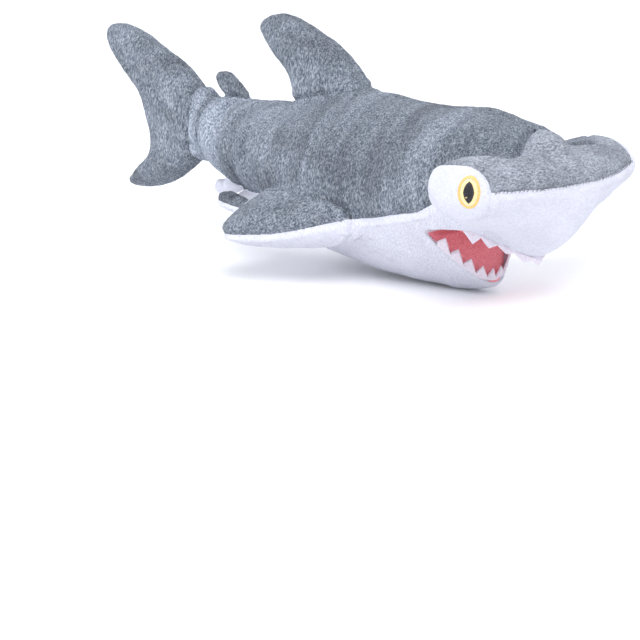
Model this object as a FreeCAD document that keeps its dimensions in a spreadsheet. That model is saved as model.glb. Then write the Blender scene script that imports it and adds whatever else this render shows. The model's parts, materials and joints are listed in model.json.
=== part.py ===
"""Plush hammerhead shark: fabric panels sewn over stuffed cores, with fins, tail and jaw that bend.

Frame: +X towards the nose, +Y to the shark's left, +Z up, millimetres.
The origin is on the resting plane, under the middle of the whole toy.
"""
import FreeCAD, Part

import math
import os

from FreeCAD import Placement, Rotation, Vector

SIZES = {
    # stuffed body, from the tail seam to the front of the neck
    "body_length": 243.0,
    "body_height": 98.0,
    "body_width": 87.0,
    "tail_seam_x": -91.0,
    "pile_skin": 2.0,
    "belly_core_lift": 1.0,
    "colour_seam_height": 38.0,
    # hammer head
    "nose_x": 170.0,
    "hammer_span": 131.0,
    "hammer_sweep": 9.0,
    "hammer_depth": 39.0,
    "hammer_thickness": 28.0,
    "hammer_top": 81.0,
    "muzzle_bottom": 21.5,
    "muzzle_width": 34.0,
    "muzzle_depth": 58.0,
    "muzzle_lean": 9.0,
    "wing_root_bottom": 39.0,
    # eyes, worked in satin stitch on the end of each wing
    "eye_bulge": 12.5,
    "eye_forward": 10.0,
    "eye_rise": 2.0,
    "eye_width": 11.0,
    "eye_height": 16.0,
    "eye_band": 2.0,
    "eye_gap": 1.0,
    "eye_thread": 0.8,
    # mouth: angles are below the horizontal, about the corner of the mouth
    "mouth_corner_x": 94.0,
    "mouth_corner_z": 37.0,
    "mouth_roof_angle": 17.0,
    "mouth_floor_angle": 45.0,
    "throat_angle": 100.0,
    "throat_slack_angle": 6.0,
    "corner_gap": 1.5,
    "lining": 1.2,
    "teeth_angle": 10.0,
    "teeth_pitch_angle": 15.0,
    "teeth_felt": 1.2,
    "lower_teeth_reach": 25.0,
    "upper_teeth_reach": 33.0,
    "teeth_half_width": 24.0,
    "chin_taper": 0.45,
    # fins: chord along the root, height away from it, thickness across
    "dorsal_height": 50.0,
    "dorsal_thickness": 20.0,
    "second_dorsal_chord": 18.0,
    "second_dorsal_height": 14.0,
    "second_dorsal_thickness": 10.0,
    "anal_chord": 13.0,
    "anal_height": 11.0,
    "anal_thickness": 10.0,
    "pectoral_chord": 67.0,
    "pectoral_height": 36.5,
    "pectoral_thickness": 19.0,
    "pectoral_root_x": -11.0,
    "pectoral_root_z": 35.0,
    "pectoral_droop": 9.0,
    "pelvic_chord": 20.0,
    "pelvic_height": 30.0,
    "pelvic_thickness": 9.0,
    "pelvic_root_x": -26.0,
    "pelvic_root_y": 13.0,
    "pelvic_drop": 4.0,
    "tail_length": 79.0,
    "tail_rise": 54.5,
    "tail_drop": 42.5,
    "tail_thickness": 25.6,
    "fin_skin": 1.5,
    "fin_gap": 0.8,
    "fin_end_gap": 2.3,
}

# Body stations: place along the body, then top and bottom as shares of its height
# and half width as a share of its width.
STATIONS = [
    (0.000, 0.842, 0.490, 0.153),
    (0.070, 0.847, 0.418, 0.241),
    (0.177, 0.852, 0.332, 0.356),
    (0.300, 0.878, 0.199, 0.443),
    (0.400, 0.939, 0.056, 0.480),
    (0.498, 0.997, -0.005, 0.500),
    (0.617, 0.977, -0.020, 0.500),
    (0.728, 0.980, -0.015, 0.489),
    (0.819, 0.994, 0.020, 0.454),
    (0.877, 0.966, 0.080, 0.402),
    (0.942, 0.929, 0.400, 0.310),
    (1.000, 0.857, 0.630, 0.161),
]
DORSAL_REAR_STATION = 3
DORSAL_FRONT_STATION = 5
SECOND_DORSAL_STATION = 2
ANAL_STATION = 2
ANAL_BACK_STATION = 1

SECOND_DORSAL_BEHIND = 1.35  # chords behind its station
ANAL_FORWARD = 2.0  # millimetres ahead of its station
PELVIC_OUTWARD = (-1.0, 0.0, -0.1)

# Seam between the grey back and the white belly: place along the body,
# then millimetres above the seam's driving height.
COLOUR_SEAM = [(0.0, 4), (0.3, -8), (0.5, -6), (0.75, 4), (0.85, 14), (1.0, 30)]

# Seam between the hammer's top and front panels: shares of its thickness and depth.
FRONT_SEAM_DOWN = 0.58
FRONT_SEAM_BACK = 0.8

# Lens that rounds each fin: radii as shares of its chord and height.
FIN_LENS = (1.15, 1.3)
TAIL_LENS = (1.75, 1.6)
FIN_SEAM_SKINS = 2.4  # skins taken off a fin's outline for its stuffing
TAIL_SEAM_SKINS = 3.0
FIN_NECK = (0.15, 0.85)  # shares of the chord that go into the body
TAIL_NECK = (-0.3, 0.3)  # shares of the seam's height that go into the body
ROLLER_MARGIN = 0.12
ROLLER_PLAY = 0.3

TEETH_HALF_ARC = 70.0
TOOTH_OVERCUT = 1.01
NOTCH_REACH = 0.3

SECTION_POINTS = 16
HAMMER_SECTIONS = (-1.0, -0.75, -0.45, -0.22, 0.0, 0.22, 0.45, 0.75, 1.0)
CHIN_TAPER_FROM, CHIN_TAPER_TO = 0.60, 0.80

# Fin outlines: along the root as a share of the chord, away from it as a share of the height.
DORSAL_OUTLINE = [
    (1.00, 0.00), (0.86, 0.26), (0.62, 0.57), (0.20, 0.87), (-0.12, 1.00),
    (-0.38, 0.90), (-0.27, 0.65), (-0.06, 0.32), (0.00, 0.00),
]
FINGER_OUTLINE = [
    (1.00, 0.00), (0.82, 0.45), (0.38, 0.90), (-0.10, 1.00),
    (-0.40, 0.80), (-0.30, 0.35), (-0.05, 0.00),
]
PECTORAL_OUTLINE = [
    (1.00, 0.00), (0.80, 0.36), (0.45, 0.73), (0.19, 0.96), (0.04, 0.97),
    (-0.07, 0.72), (-0.11, 0.35), (0.00, 0.00),
]
PELVIC_OUTLINE = [
    (1.00, 0.00), (1.04, 0.45), (0.90, 0.86), (0.62, 1.00), (0.30, 0.88),
    (0.06, 0.45), (0.00, 0.00),
]
# Tail outline: height above or below the tail's middle as a share of rise or drop,
# then distance behind the seam as a share of the tail's length.
TAIL_OUTLINE = [
    (0.40, 0.00), (0.60, 0.165), (0.76, 0.37), (0.89, 0.57), (1.00, 0.77),
    (0.94, 0.93), (0.81, 1.00), (0.68, 0.91), (0.50, 0.75), (0.26, 0.64),
    (0.00, 0.59), (-0.36, 0.57), (-0.61, 0.65), (-0.84, 0.77), (-0.97, 0.76),
    (-1.00, 0.60), (-0.89, 0.37), (-0.62, 0.14), (-0.45, 0.00),
]

FAR = 400.0

doc = FreeCAD.newDocument("PlushShark")
sheet = doc.addObject("Spreadsheet::Sheet", "Sizes")
nodes = {}


def fill_sheet():
    """Writes every driving size into the sheet, with its name as the alias."""
    for row, (alias, value) in enumerate(SIZES.items(), start=1):
        sheet.set(f"A{row}", alias)
        sheet.set(f"B{row}", str(value))
        sheet.setAlias(f"B{row}", alias)
    doc.recompute()


def size(alias):
    """Reads one driving size back from the sheet."""
    return float(getattr(sheet, alias))


def keep(name, item):
    """Makes a document object a finished sub-part called name."""
    item.Label = name
    nodes[name] = item


def feature(name, shape):
    """Adds a shape that Part's own functions made."""
    item = doc.addObject("Part::Feature", name)
    item.Shape = shape
    return item


def primitive(kind, name, placement, **bindings):
    """Adds a Part primitive whose sizes are bound to the sheet."""
    item = doc.addObject(kind, name)
    for prop, expression in bindings.items():
        item.setExpression(prop, expression)
    item.Placement = placement
    return item


def cut(name, base, tool):
    item = doc.addObject("Part::Cut", name)
    item.Base = base
    item.Tool = tool
    return item


def common(name, base, tool):
    item = doc.addObject("Part::Common", name)
    item.Base = base
    item.Tool = tool
    return item


def fuse(name, pieces):
    item = doc.addObject("Part::MultiFuse", name)
    item.Shapes = pieces
    item.Refine = False
    return item


def loft(name, wires):
    """Lofts a smooth solid through closed section wires."""
    item = doc.addObject("Part::Loft", name)
    item.Sections = [feature(f"{name}_section_{i}", wire) for i, wire in enumerate(wires)]
    item.Solid = True
    item.Ruled = False
    return item


def block(name, low, high):
    """A box between two corners, for splitting panels."""
    item = doc.addObject("Part::Box", name)
    item.Length, item.Width, item.Height = (high - low)
    item.Placement.Base = low
    return item


def local_block(name, placement, low, width=FAR):
    """A large box whose low corner is given in a fin's own frame."""
    item = doc.addObject("Part::Box", name)
    item.Length, item.Width, item.Height = FAR, width, FAR
    item.Placement = placement * Placement(low, Rotation())
    return item


def prism_xz(name, points):
    """A prism across the toy's whole width over a polygon in the XZ plane."""
    corners = [Vector(x, -FAR / 2, z) for x, z in points]
    face = Part.Face(Part.makePolygon(corners + corners[:1]))
    return feature(name, face.extrude(Vector(0, FAR, 0)))


def closed_curve(points):
    """A smooth closed wire through the points."""
    curve = Part.BSplineCurve()
    curve.interpolate(Points=points, PeriodicFlag=True)
    return Part.Wire(curve.toShape())


def oval(centre, across, up, lean=0.0, taper=0.0):
    """A closed section: across and up are half axes, lean moves its top along across.

    Taper narrows the lower half, by that share of its width at the very bottom.
    """
    drift = Vector(across).normalize() * lean
    points = []
    for i in range(SECTION_POINTS):
        turn = 2 * math.pi * i / SECTION_POINTS
        narrow = 1 - taper * max(0.0, -math.cos(turn))
        points.append(centre + (up + drift) * math.cos(turn) + across * (math.sin(turn) * narrow))
    return points


def station_at(place):
    """Top, bottom and half width of the body at a place along it, in millimetres."""
    for (p0, *row0), (p1, *row1) in zip(STATIONS, STATIONS[1:]):
        if place <= p1:
            share = (place - p0) / (p1 - p0)
            top, bottom, half = [a + share * (b - a) for a, b in zip(row0, row1)]
            break
    return top * size("body_height"), bottom * size("body_height"), half * size("body_width")


def body_x(place):
    return size("tail_seam_x") + place * size("body_length")


def body_place(x):
    return (x - size("tail_seam_x")) / size("body_length")


def underside_z(x, y):
    """Height of the body's underside above the resting plane."""
    top, bottom, half = station_at(body_place(x))
    return (top + bottom) / 2 - (top - bottom) / 2 * math.sqrt(1 - (y / half) ** 2)


def body_wires(inset, lift):
    """Sections of the body, inset for the stuffing; lift raises the bottom off the flat."""
    wires = []
    for place, *_ in STATIONS:
        top, bottom, half = station_at(place)
        top -= inset
        bottom += inset + lift
        centre = Vector(body_x(place), 0, (top + bottom) / 2)
        forward = (place - CHIN_TAPER_FROM) / (CHIN_TAPER_TO - CHIN_TAPER_FROM)
        taper = size("chin_taper") * min(1.0, max(0.0, forward))
        up = Vector(0, 0, (top - bottom) / 2)
        wires.append(closed_curve(oval(centre, Vector(0, half - inset, 0), up, taper=taper)))
    return wires


def hammer_wires(inset):
    """Sections of the hammer head from one wing's end to the other."""
    wires = []
    end_bottom = size("hammer_top") - size("hammer_thickness")
    root_bottom = size("wing_root_bottom")
    for share in HAMMER_SECTIONS:
        y = share * size("hammer_span") / 2
        muzzle = math.exp(-(2 * y / size("muzzle_width")) ** 2)
        bottom = root_bottom + (end_bottom - root_bottom) * share ** 2
        bottom -= muzzle * (root_bottom - size("muzzle_bottom"))
        thickness = size("hammer_top") - bottom
        deep = 1 - share ** 2
        depth = size("hammer_depth") + deep * (size("muzzle_depth") - size("hammer_depth"))
        lean = deep * size("muzzle_lean")
        centre_x = size("nose_x") - size("hammer_sweep") * share ** 2 - math.hypot(depth / 2, lean)
        centre = Vector(centre_x, y, size("hammer_top") - thickness / 2)
        across = Vector(depth / 2 - inset, 0, 0)
        up = Vector(0, 0, thickness / 2 - inset)
        wires.append(closed_curve(oval(centre, across, up, lean)))
    return wires


def below_seam_region():
    """Everything below the seam between the grey back and the white belly."""
    height = size("colour_seam_height")
    line = [(body_x(place), height + above) for place, above in COLOUR_SEAM]
    ends = [(body_x(1.0), -FAR), (body_x(0.0), -FAR)]
    return prism_xz("below_colour_seam", line + ends)


def hinge_line(angle, reach):
    """A point at an angle below the horizontal and a distance from the mouth's corner."""
    turn = math.radians(angle)
    x = size("mouth_corner_x") + reach * math.cos(turn)
    return (x, size("mouth_corner_z") - reach * math.sin(turn))


def wedge(name, from_angle, to_angle, start=0.0):
    """A wedge opening forwards and down from the mouth's corner."""
    inner = [hinge_line(from_angle, start)]
    if start:
        inner.append(hinge_line(to_angle, start))
    middle = (from_angle + to_angle) / 2
    outer = [hinge_line(a, FAR / 2) for a in (to_angle, middle, from_angle)]
    return prism_xz(name, inner + outer)


def slab(name, angle, thickness):
    """A sheet of cloth on the line that leaves the mouth's corner at an angle."""
    turn = math.radians(angle)
    down = (-math.sin(turn) * thickness, -math.cos(turn) * thickness)
    near = hinge_line(angle, 2 * size("corner_gap"))
    far = hinge_line(angle, FAR / 2)
    lower = [(x + down[0], z + down[1]) for x, z in (far, near)]
    return prism_xz(name, [near, far] + lower)


def frame_at(origin, along, outward):
    """Local frame of a fin: X along its root, Z away from the body, Y across its thickness."""
    along = Vector(along).normalize()
    outward = Vector(outward).normalize()
    across = outward.cross(along)
    return Placement(origin, Rotation(along, across, outward, "ZXY"))


def outline_wire(placement, points, share=1.0, middle=None):
    """Closed outline in a fin's own plane, shrunk about its middle by share."""
    middle = middle or Vector()
    local = [middle + (Vector(s, 0, up) - middle) * share for s, up in points]
    return closed_curve([placement.multVec(p) for p in local])


def pillow(name, placement, points, share, thickness, radii):
    """A puffy plate: an outline extruded across its thickness and rounded by a lens."""
    total = Vector(sum(s for s, up in points), 0, sum(up for s, up in points))
    middle = total / len(points)
    outline = feature(f"{name}_outline", outline_wire(placement, points, share, middle))
    plate = doc.addObject("Part::Extrusion", f"{name}_plate")
    plate.Base = outline
    plate.DirMode = "Custom"
    plate.Dir = placement.Rotation.multVec(Vector(0, 1, 0))
    plate.setExpression("LengthFwd", f"{thickness} * 2")
    plate.Symmetric = True
    plate.Solid = True
    along, away = radii
    lens = primitive("Part::Ellipsoid", f"{name}_lens", placement, Radius3=f"{thickness} / 2")
    lens.Placement = placement * Placement(Vector(middle.x, 0, 0), Rotation())
    lens.Radius1 = away * share
    lens.Radius2 = along * share
    return common(f"{name}_pillow", plate, lens)


def keep_halves(prefix, shell, placement, plus_side, minus_side):
    """The two cloth panels of a fin, either side of its own middle plane."""
    for side, sign in ((plus_side, 1), (minus_side, -1)):
        corner = Vector(-FAR / 2, min(0, sign) * FAR / 2, 0)
        half = local_block(f"{prefix}_half", placement, corner, FAR / 2)
        keep(f"{prefix}_panel_{side}", common(f"{prefix}_panel_{side}", shell, half))


def keep_fin_stuffing(prefix, placement, inner, chord):
    """The stuffing above the root plane, with a round roller below it."""
    outside = local_block(f"{prefix}_outside", placement, Vector(-FAR / 2, -FAR / 2, 0))
    core = common(f"{prefix}_core", inner, outside)
    margin = ROLLER_MARGIN * chord
    root = primitive(
        "Part::Cylinder", f"{prefix}_root",
        placement * Placement(Vector(margin, 0, 0), Rotation(Vector(0, 1, 0), 90)),
        Radius=f"Sizes.{prefix}_thickness / 2 - Sizes.fin_skin - {ROLLER_PLAY}")
    root.Height = chord - 2 * margin
    inside = local_block(f"{prefix}_inside", placement, Vector(-FAR / 2, -FAR / 2, -FAR))
    roller = common(f"{prefix}_roller", root, inside)
    keep(f"{prefix}_stuffing", fuse(f"{prefix}_stuffing", [core, roller]))


def stuffed_fin(prefix, placement, outline, chord, height, plus_side, minus_side):
    """Two panels sewn round a stuffed core; returns the pocket its root turns in."""
    thickness = size(f"{prefix}_thickness")
    points = [(s * chord, up * height) for s, up in outline]
    points += [(s * chord, -thickness) for s in FIN_NECK]
    share = 1 - FIN_SEAM_SKINS * size("fin_skin") / min(chord, height)
    radii = (chord * FIN_LENS[0], height * FIN_LENS[1])
    cloth = f"Sizes.{prefix}_thickness"
    outer = pillow(f"{prefix}_outer", placement, points, 1.0, cloth, radii)
    inner = pillow(f"{prefix}_inner", placement, points, share, f"({cloth} - 2 * Sizes.fin_skin)", radii)
    shell = cut(f"{prefix}_shell", outer, inner)
    keep_halves(prefix, shell, placement, plus_side, minus_side)
    keep_fin_stuffing(prefix, placement, inner, chord)
    pocket = primitive(
        "Part::Cylinder", f"{prefix}_pocket",
        placement * Placement(Vector(-size("fin_end_gap"), 0, 0), Rotation(Vector(0, 1, 0), 90)),
        Radius=f"{cloth} / 2 + Sizes.fin_gap")
    pocket.Height = chord + 2 * size("fin_end_gap")
    return pocket


def dorsal_frame():
    """Frame and chord of the dorsal fin, on the line between two stations."""
    rear, front = STATIONS[DORSAL_REAR_STATION], STATIONS[DORSAL_FRONT_STATION]
    low = Vector(body_x(rear[0]), 0, rear[1] * size("body_height"))
    high = Vector(body_x(front[0]), 0, front[1] * size("body_height"))
    along = high - low
    outward = Vector(-along.z, 0, along.x)
    return frame_at(low, along, outward), along.Length


def make_dorsal():
    placement, chord = dorsal_frame()
    return stuffed_fin("dorsal", placement, DORSAL_OUTLINE, chord, size("dorsal_height"), "left", "right")


def make_second_dorsal():
    place, top, *_ = STATIONS[SECOND_DORSAL_STATION]
    chord = size("second_dorsal_chord")
    origin = Vector(body_x(place) - chord * SECOND_DORSAL_BEHIND, 0, top * size("body_height"))
    placement = frame_at(origin, (1, 0, 0), (0, 0, 1))
    return stuffed_fin("second_dorsal", placement, FINGER_OUTLINE, chord,
                       size("second_dorsal_height"), "left", "right")


def make_anal():
    chord = size("anal_chord")
    back, front = STATIONS[ANAL_BACK_STATION], STATIONS[ANAL_STATION]
    high = Vector(body_x(back[0]), 0, back[2] * size("body_height"))
    low = Vector(body_x(front[0]), 0, front[2] * size("body_height"))
    along = (low - high).normalize()
    placement = frame_at(high + along * ANAL_FORWARD, along, Vector(along.z, 0, -along.x))
    return stuffed_fin("anal", placement, FINGER_OUTLINE, chord, size("anal_height"), "right", "left")


def make_pectorals():
    droop = math.radians(size("pectoral_droop"))
    pockets = []
    for side, sign in (("left", 1), ("right", -1)):
        origin = Vector(size("pectoral_root_x"), sign * size("body_width") / 2, size("pectoral_root_z"))
        outward = Vector(0, sign * math.cos(droop), -math.sin(droop))
        placement = frame_at(origin, (1, 0, 0), outward)
        plus, minus = ("bottom", "top") if sign > 0 else ("top", "bottom")
        pockets.append(paired_fin("pectoral", side, placement, PECTORAL_OUTLINE, plus, minus))
    return pockets


def make_pelvics():
    pockets = []
    for side, sign in (("left", 1), ("right", -1)):
        middle_y = size("pelvic_root_y") + size("pelvic_chord") / 2
        x = size("pelvic_root_x")
        drop = size("pelvic_drop")
        origin = Vector(x, sign * size("pelvic_root_y"), underside_z(x, middle_y) - drop)
        placement = frame_at(origin, (0, sign, 0), PELVIC_OUTWARD)
        plus, minus = ("bottom", "top") if sign > 0 else ("top", "bottom")
        pocket = paired_fin("pelvic", side, placement, PELVIC_OUTLINE, plus, minus)
        pocket.setExpression("Radius", "Sizes.pelvic_thickness / 2 + Sizes.fin_gap + Sizes.pelvic_drop")
        pockets.append(pocket)
    return pockets


def paired_fin(kind, side, placement, outline, plus, minus):
    """One fin of a left and right pair, with its nodes named for its side."""
    before = set(nodes)
    chord, height = size(f"{kind}_chord"), size(f"{kind}_height")
    pocket = stuffed_fin(kind, placement, outline, chord, height, plus, minus)
    for name in set(nodes) - before:
        item = nodes.pop(name)
        keep(name.replace(kind, f"{kind}_{side}", 1), item)
    return pocket


def make_tail():
    middle = sum(STATIONS[0][1:3]) / 2 * size("body_height")
    root_height = (STATIONS[0][1] - STATIONS[0][2]) * size("body_height")
    origin = Vector(size("tail_seam_x"), 0, middle)
    placement = frame_at(origin, (0, 0, 1), (-1, 0, 0))
    rise, drop, length = size("tail_rise"), size("tail_drop"), size("tail_length")
    points = [(s * (rise if s > 0 else drop), up * length) for s, up in TAIL_OUTLINE]
    points += [(s * root_height, -size("tail_thickness")) for s in TAIL_NECK]
    radii = (rise * TAIL_LENS[0], length * TAIL_LENS[1])
    cloth = "Sizes.tail_thickness"
    share = 1 - TAIL_SEAM_SKINS * size("fin_skin") / length
    outer = pillow("tail_outer", placement, points, 1.0, cloth, radii)
    inner = pillow("tail_inner", placement, points, share, f"({cloth} - 2 * Sizes.fin_skin)", radii)
    shell = cut("tail_shell", outer, inner)
    behind = block("tail_behind", Vector(-FAR, -FAR / 2, -FAR / 2), Vector(origin.x, FAR / 2, FAR / 2))
    for side, sign in (("left", 1), ("right", -1)):
        low = Vector(-FAR, min(0, sign) * FAR / 2, -FAR / 2)
        half = block(f"tail_{side}_half", low, low + Vector(FAR + origin.x, FAR / 2, FAR))
        keep(f"tail_panel_{side}", common(f"tail_panel_{side}", shell, half))
    root = primitive(
        "Part::Cylinder", "tail_root", Placement(origin - Vector(0, 0, root_height / 2), Rotation()),
        Radius=f"{cloth} / 2 - Sizes.fin_skin - {ROLLER_PLAY}")
    root.Height = root_height
    ahead = block("tail_ahead", Vector(origin.x, -FAR / 2, -FAR / 2), Vector(FAR, FAR / 2, FAR / 2))
    core = common("tail_core", inner, behind)
    keep("tail_stuffing", fuse("tail_stuffing", [core, common("tail_roller", root, ahead)]))
    pocket = primitive(
        "Part::Cylinder", "tail_pocket", Placement(origin - Vector(0, 0, FAR / 2), Rotation()),
        Radius=f"{cloth} / 2 + Sizes.fin_gap")
    pocket.Height = FAR
    return pocket


def eye_bulge(name, side, middle, inset):
    """The bulging end of a wing, as an ellipsoid pulled in by inset."""
    item = primitive(
        "Part::Ellipsoid", f"{name}_{side}", middle,
        Radius1=f"Sizes.hammer_thickness / 2 - ({inset})",
        Radius2=f"Sizes.hammer_depth / 2 - ({inset})",
        Radius3=f"Sizes.eye_bulge - ({inset})")
    item.Angle1, item.Angle2, item.Angle3 = -90, 90, 360
    return item


def eye_columns(side, sign, centre):
    """Columns through the eye's pupil, iris and rim."""
    rim = (size("eye_width") / 2, size("eye_height") / 2)
    iris = [half - size("eye_band") for half in rim]
    pupil = [half - size("eye_gap") for half in iris]
    ovals = {"pupil": pupil, "iris": iris, "rim": rim}
    return {
        name: feature(f"{name}_column_{side}", upright_oval(centre, across, up, sign))
        for name, (across, up) in ovals.items()
    }


def make_eye(side, sign):
    """A bulging white patch on the wing's end with the eye stitched on it."""
    end_z = size("hammer_top") - size("hammer_thickness") / 2
    end_x = size("nose_x") - size("hammer_sweep") - size("hammer_depth") / 2
    middle = Placement(Vector(end_x, sign * size("hammer_span") / 2, end_z), Rotation())
    far_y = middle.Base + Vector(-FAR / 2, min(0, sign) * FAR, -FAR / 2)
    beyond = block(f"beyond_{side}", far_y, far_y + Vector(FAR, FAR, FAR))
    patch = eye_bulge("patch", side, middle, "0")
    padding = eye_bulge("padding", side, middle, "Sizes.pile_skin")
    stitched = eye_bulge("thread_outer", side, middle, "-Sizes.eye_thread")
    patch_shell = cut(f"patch_shell_{side}", patch, padding)
    keep(f"eye_patch_{side}", common(f"eye_patch_{side}", patch_shell, beyond))
    keep(f"eye_padding_{side}", common(f"eye_padding_{side}", padding, beyond))

    thread = cut(f"thread_{side}", stitched, patch)
    centre = middle.Base + Vector(size("eye_forward"), 0, size("eye_rise"))
    column = eye_columns(side, sign, centre)
    ring = cut(f"ring_{side}", column["rim"], column["iris"])
    white = cut(f"white_{side}", column["iris"], column["pupil"])
    keep(f"eye_ring_{side}", common(f"eye_ring_{side}", thread, ring))
    keep(f"eye_white_{side}", common(f"eye_white_{side}", thread, white))
    keep(f"eye_pupil_{side}", common(f"eye_pupil_{side}", thread, column["pupil"]))


def upright_oval(centre, across, up, sign):
    """A column along Y with an oval section."""
    major = centre + Vector(0, 0, up)
    ellipse = Part.Ellipse(major, centre + Vector(across, 0, 0), centre)
    face = Part.Face(Part.Wire(ellipse.toShape()))
    return face.extrude(Vector(0, sign * 3 * size("eye_bulge"), 0))


def flat_oval(corner, along, across):
    """A flat oval face; its half axes are the two vectors, the longer one either way."""
    longer, shorter = sorted((along, across), key=lambda axis: -axis.Length)
    ellipse = Part.Ellipse(corner + longer, corner + shorter, corner)
    return Part.Face(Part.Wire(ellipse.toShape()))


def tooth_notches(corner, along, across, normal, tall):
    """The gaps between the teeth, as triangular prisms that point outwards."""
    pitch = size("teeth_pitch_angle")
    count = int(TEETH_HALF_ARC / pitch)
    notches = []
    for step in range(-count, count):
        low, high = [math.radians(pitch * (step + edge)) for edge in (0, 1)]
        middle = (low + high) / 2
        ways = [along * math.cos(a) + across * math.sin(a) for a in (low, middle, high)]
        root = corner + ways[1] + normal * size("teeth_felt")
        tips = [corner + way + normal * tall * TOOTH_OVERCUT for way in (ways[0], ways[2])]
        triangle = Part.Face(Part.makePolygon([root] + tips + [root]))
        outward = triangle.translated(ways[1] * NOTCH_REACH)
        notches.append(outward.extrude(ways[1] * -2 * NOTCH_REACH))
    return notches


def tooth_strip(angle, reach, stand):
    """A zigzag felt strip round the front of the mouth; stand is +1 for up and -1 for down."""
    turn = math.radians(angle)
    corner = Vector(size("mouth_corner_x"), 0, size("mouth_corner_z"))
    forward = Vector(math.cos(turn), 0, -math.sin(turn))
    normal = Vector(math.sin(turn), 0, math.cos(turn)) * stand
    side = Vector(0, 1, 0)
    half = size("teeth_half_width")
    tall = reach * math.tan(math.radians(size("teeth_angle")))
    outer, inner = [
        flat_oval(corner, forward * (reach - inset), side * (half - inset)).extrude(normal * tall)
        for inset in (0.0, size("teeth_felt"))
    ]
    notches = tooth_notches(corner, forward * reach, side * half, normal, tall)
    zigzag = outer.cut(inner).cut(notches)

    pitch = size("teeth_pitch_angle")
    last = math.radians(pitch * int(TEETH_HALF_ARC / pitch))
    upward = forward.cross(side)
    edge = corner + forward * (reach * math.cos(last))
    front = Part.makeBox(FAR, FAR, FAR)
    front.Placement = Placement(
        edge - side * FAR / 2 - upward * FAR / 2, Rotation(forward, side, upward, "XYZ"))
    return zigzag.common(front)


def make_body_panels(flat_body, body_core, head, tools):
    """Grey back panels and the white belly panel, open at the neck, mouth and fins."""
    body_shell = cut("body_shell", cut("body_shell_closed", flat_body, body_core), head)
    torso_shell = cut("torso_shell", body_shell, tools)
    low = below_seam_region()
    keep("belly_panel", common("belly_panel", torso_shell, low))
    back = cut("back", torso_shell, low)
    left_half = block("left_half", Vector(-FAR, 0, -FAR), Vector(FAR, FAR, FAR))
    keep("back_panel_left", common("back_panel_left", back, left_half))
    keep("back_panel_right", cut("back_panel_right", back, left_half))


def make_head_panels(head, head_core, body_core, front):
    """The hammer's grey top panel and its white front panel."""
    head_shell = cut("head_shell", cut("head_shell_closed", head, head_core), body_core)
    head_shell = cut("head_shell_open", head_shell, front)
    nose_x = size("nose_x")
    nose_z = size("hammer_top") - FRONT_SEAM_DOWN * size("hammer_thickness")
    rear_x = nose_x - size("muzzle_depth") * FRONT_SEAM_BACK
    rear_z = size("hammer_top") - size("hammer_thickness")
    above = [
        (-FAR, rear_z), (rear_x, rear_z), (nose_x, nose_z), (FAR, nose_z), (FAR, FAR), (-FAR, FAR),
    ]
    top_zone = prism_xz("hammer_top_zone", above)
    keep("hammer_top_panel", common("hammer_top_panel", head_shell, top_zone))
    keep("hammer_front_panel", cut("hammer_front_panel", head_shell, top_zone))


def make_stuffing(head_core, body_core, front, tools):
    """Stuffing of the body and head, and the lining of the mouth's roof."""
    roof_cloth = slab("roof_cloth", size("mouth_roof_angle"), -size("lining"))
    both_cores = fuse("both_cores", [body_core, head_core])
    keep("mouth_lining_upper", common("mouth_lining_upper", both_cores, roof_cloth))
    keep("body_stuffing", cut("body_stuffing", cut("body_core_open", body_core, tools), roof_cloth))
    head_fill = cut("head_fill_open", cut("head_fill", head_core, body_core), front)
    keep("head_stuffing", cut("head_stuffing", head_fill, roof_cloth))


def make_jaw(flat_body, body_core, ground):
    """The jaw's white panel, its stuffing and the lining on its top."""
    floor = size("mouth_floor_angle")
    rear = size("throat_angle") - size("throat_slack_angle")
    jaw_zone = wedge("jaw_zone", floor, rear, size("corner_gap"))
    floor_cloth = slab("floor_cloth", floor, size("lining"))
    jaw_shell = cut("jaw_shell_cut", cut("jaw_shell", flat_body, body_core), ground)
    keep("jaw_panel", common("jaw_panel", jaw_shell, jaw_zone))
    jaw_core = common("jaw_core", body_core, jaw_zone)
    keep("mouth_lining_lower", common("mouth_lining_lower", jaw_core, floor_cloth))
    keep("jaw_stuffing", cut("jaw_stuffing", jaw_core, floor_cloth))


def make_torso_and_jaw(pockets):
    """The body, head and jaw, with a pocket cut out for each fin's root."""
    body = loft("body", body_wires(0, 0))
    body_core = loft("body_core", body_wires(size("pile_skin"), size("belly_core_lift")))
    head = loft("head", hammer_wires(0))
    head_core = loft("head_core", hammer_wires(size("pile_skin")))
    ground = block("ground", Vector(-FAR, -FAR, -FAR), Vector(FAR, FAR, 0))
    flat_body = cut("flat_body", body, ground)
    front = wedge("mouth_and_jaw", size("mouth_roof_angle"), size("throat_angle"))
    tools = fuse("torso_tools", [front] + pockets)
    make_body_panels(flat_body, body_core, head, tools)
    make_head_panels(head, head_core, body_core, front)
    make_stuffing(head_core, body_core, front, tools)
    make_jaw(flat_body, body_core, ground)


def make_teeth():
    """The two zigzag strips of felt teeth."""
    rows = {
        "lower_teeth": (size("mouth_floor_angle"), size("lower_teeth_reach"), 1),
        "upper_teeth": (size("mouth_roof_angle"), size("upper_teeth_reach"), -1),
    }
    for name, row in rows.items():
        keep(name, feature(name, tooth_strip(*row)))


def export_parts():
    """Checks every object, then writes each finished sub-part to its own file."""
    doc.recompute()
    for item in doc.Objects:
        if "Invalid" in item.State or "Error" in item.State:
            raise RuntimeError(f"{item.Label} failed: {item.State}")
    for name, item in nodes.items():
        if item.Shape.isNull() or not item.Shape.isValid():
            raise RuntimeError(f"{name} has no valid shape")
        if not item.Shape.Solids:
            raise RuntimeError(f"{name} has no solid")
    os.makedirs("parts", exist_ok=True)
    for name, item in nodes.items():
        item.Shape.exportStep(f"parts/{name}.step")


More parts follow.
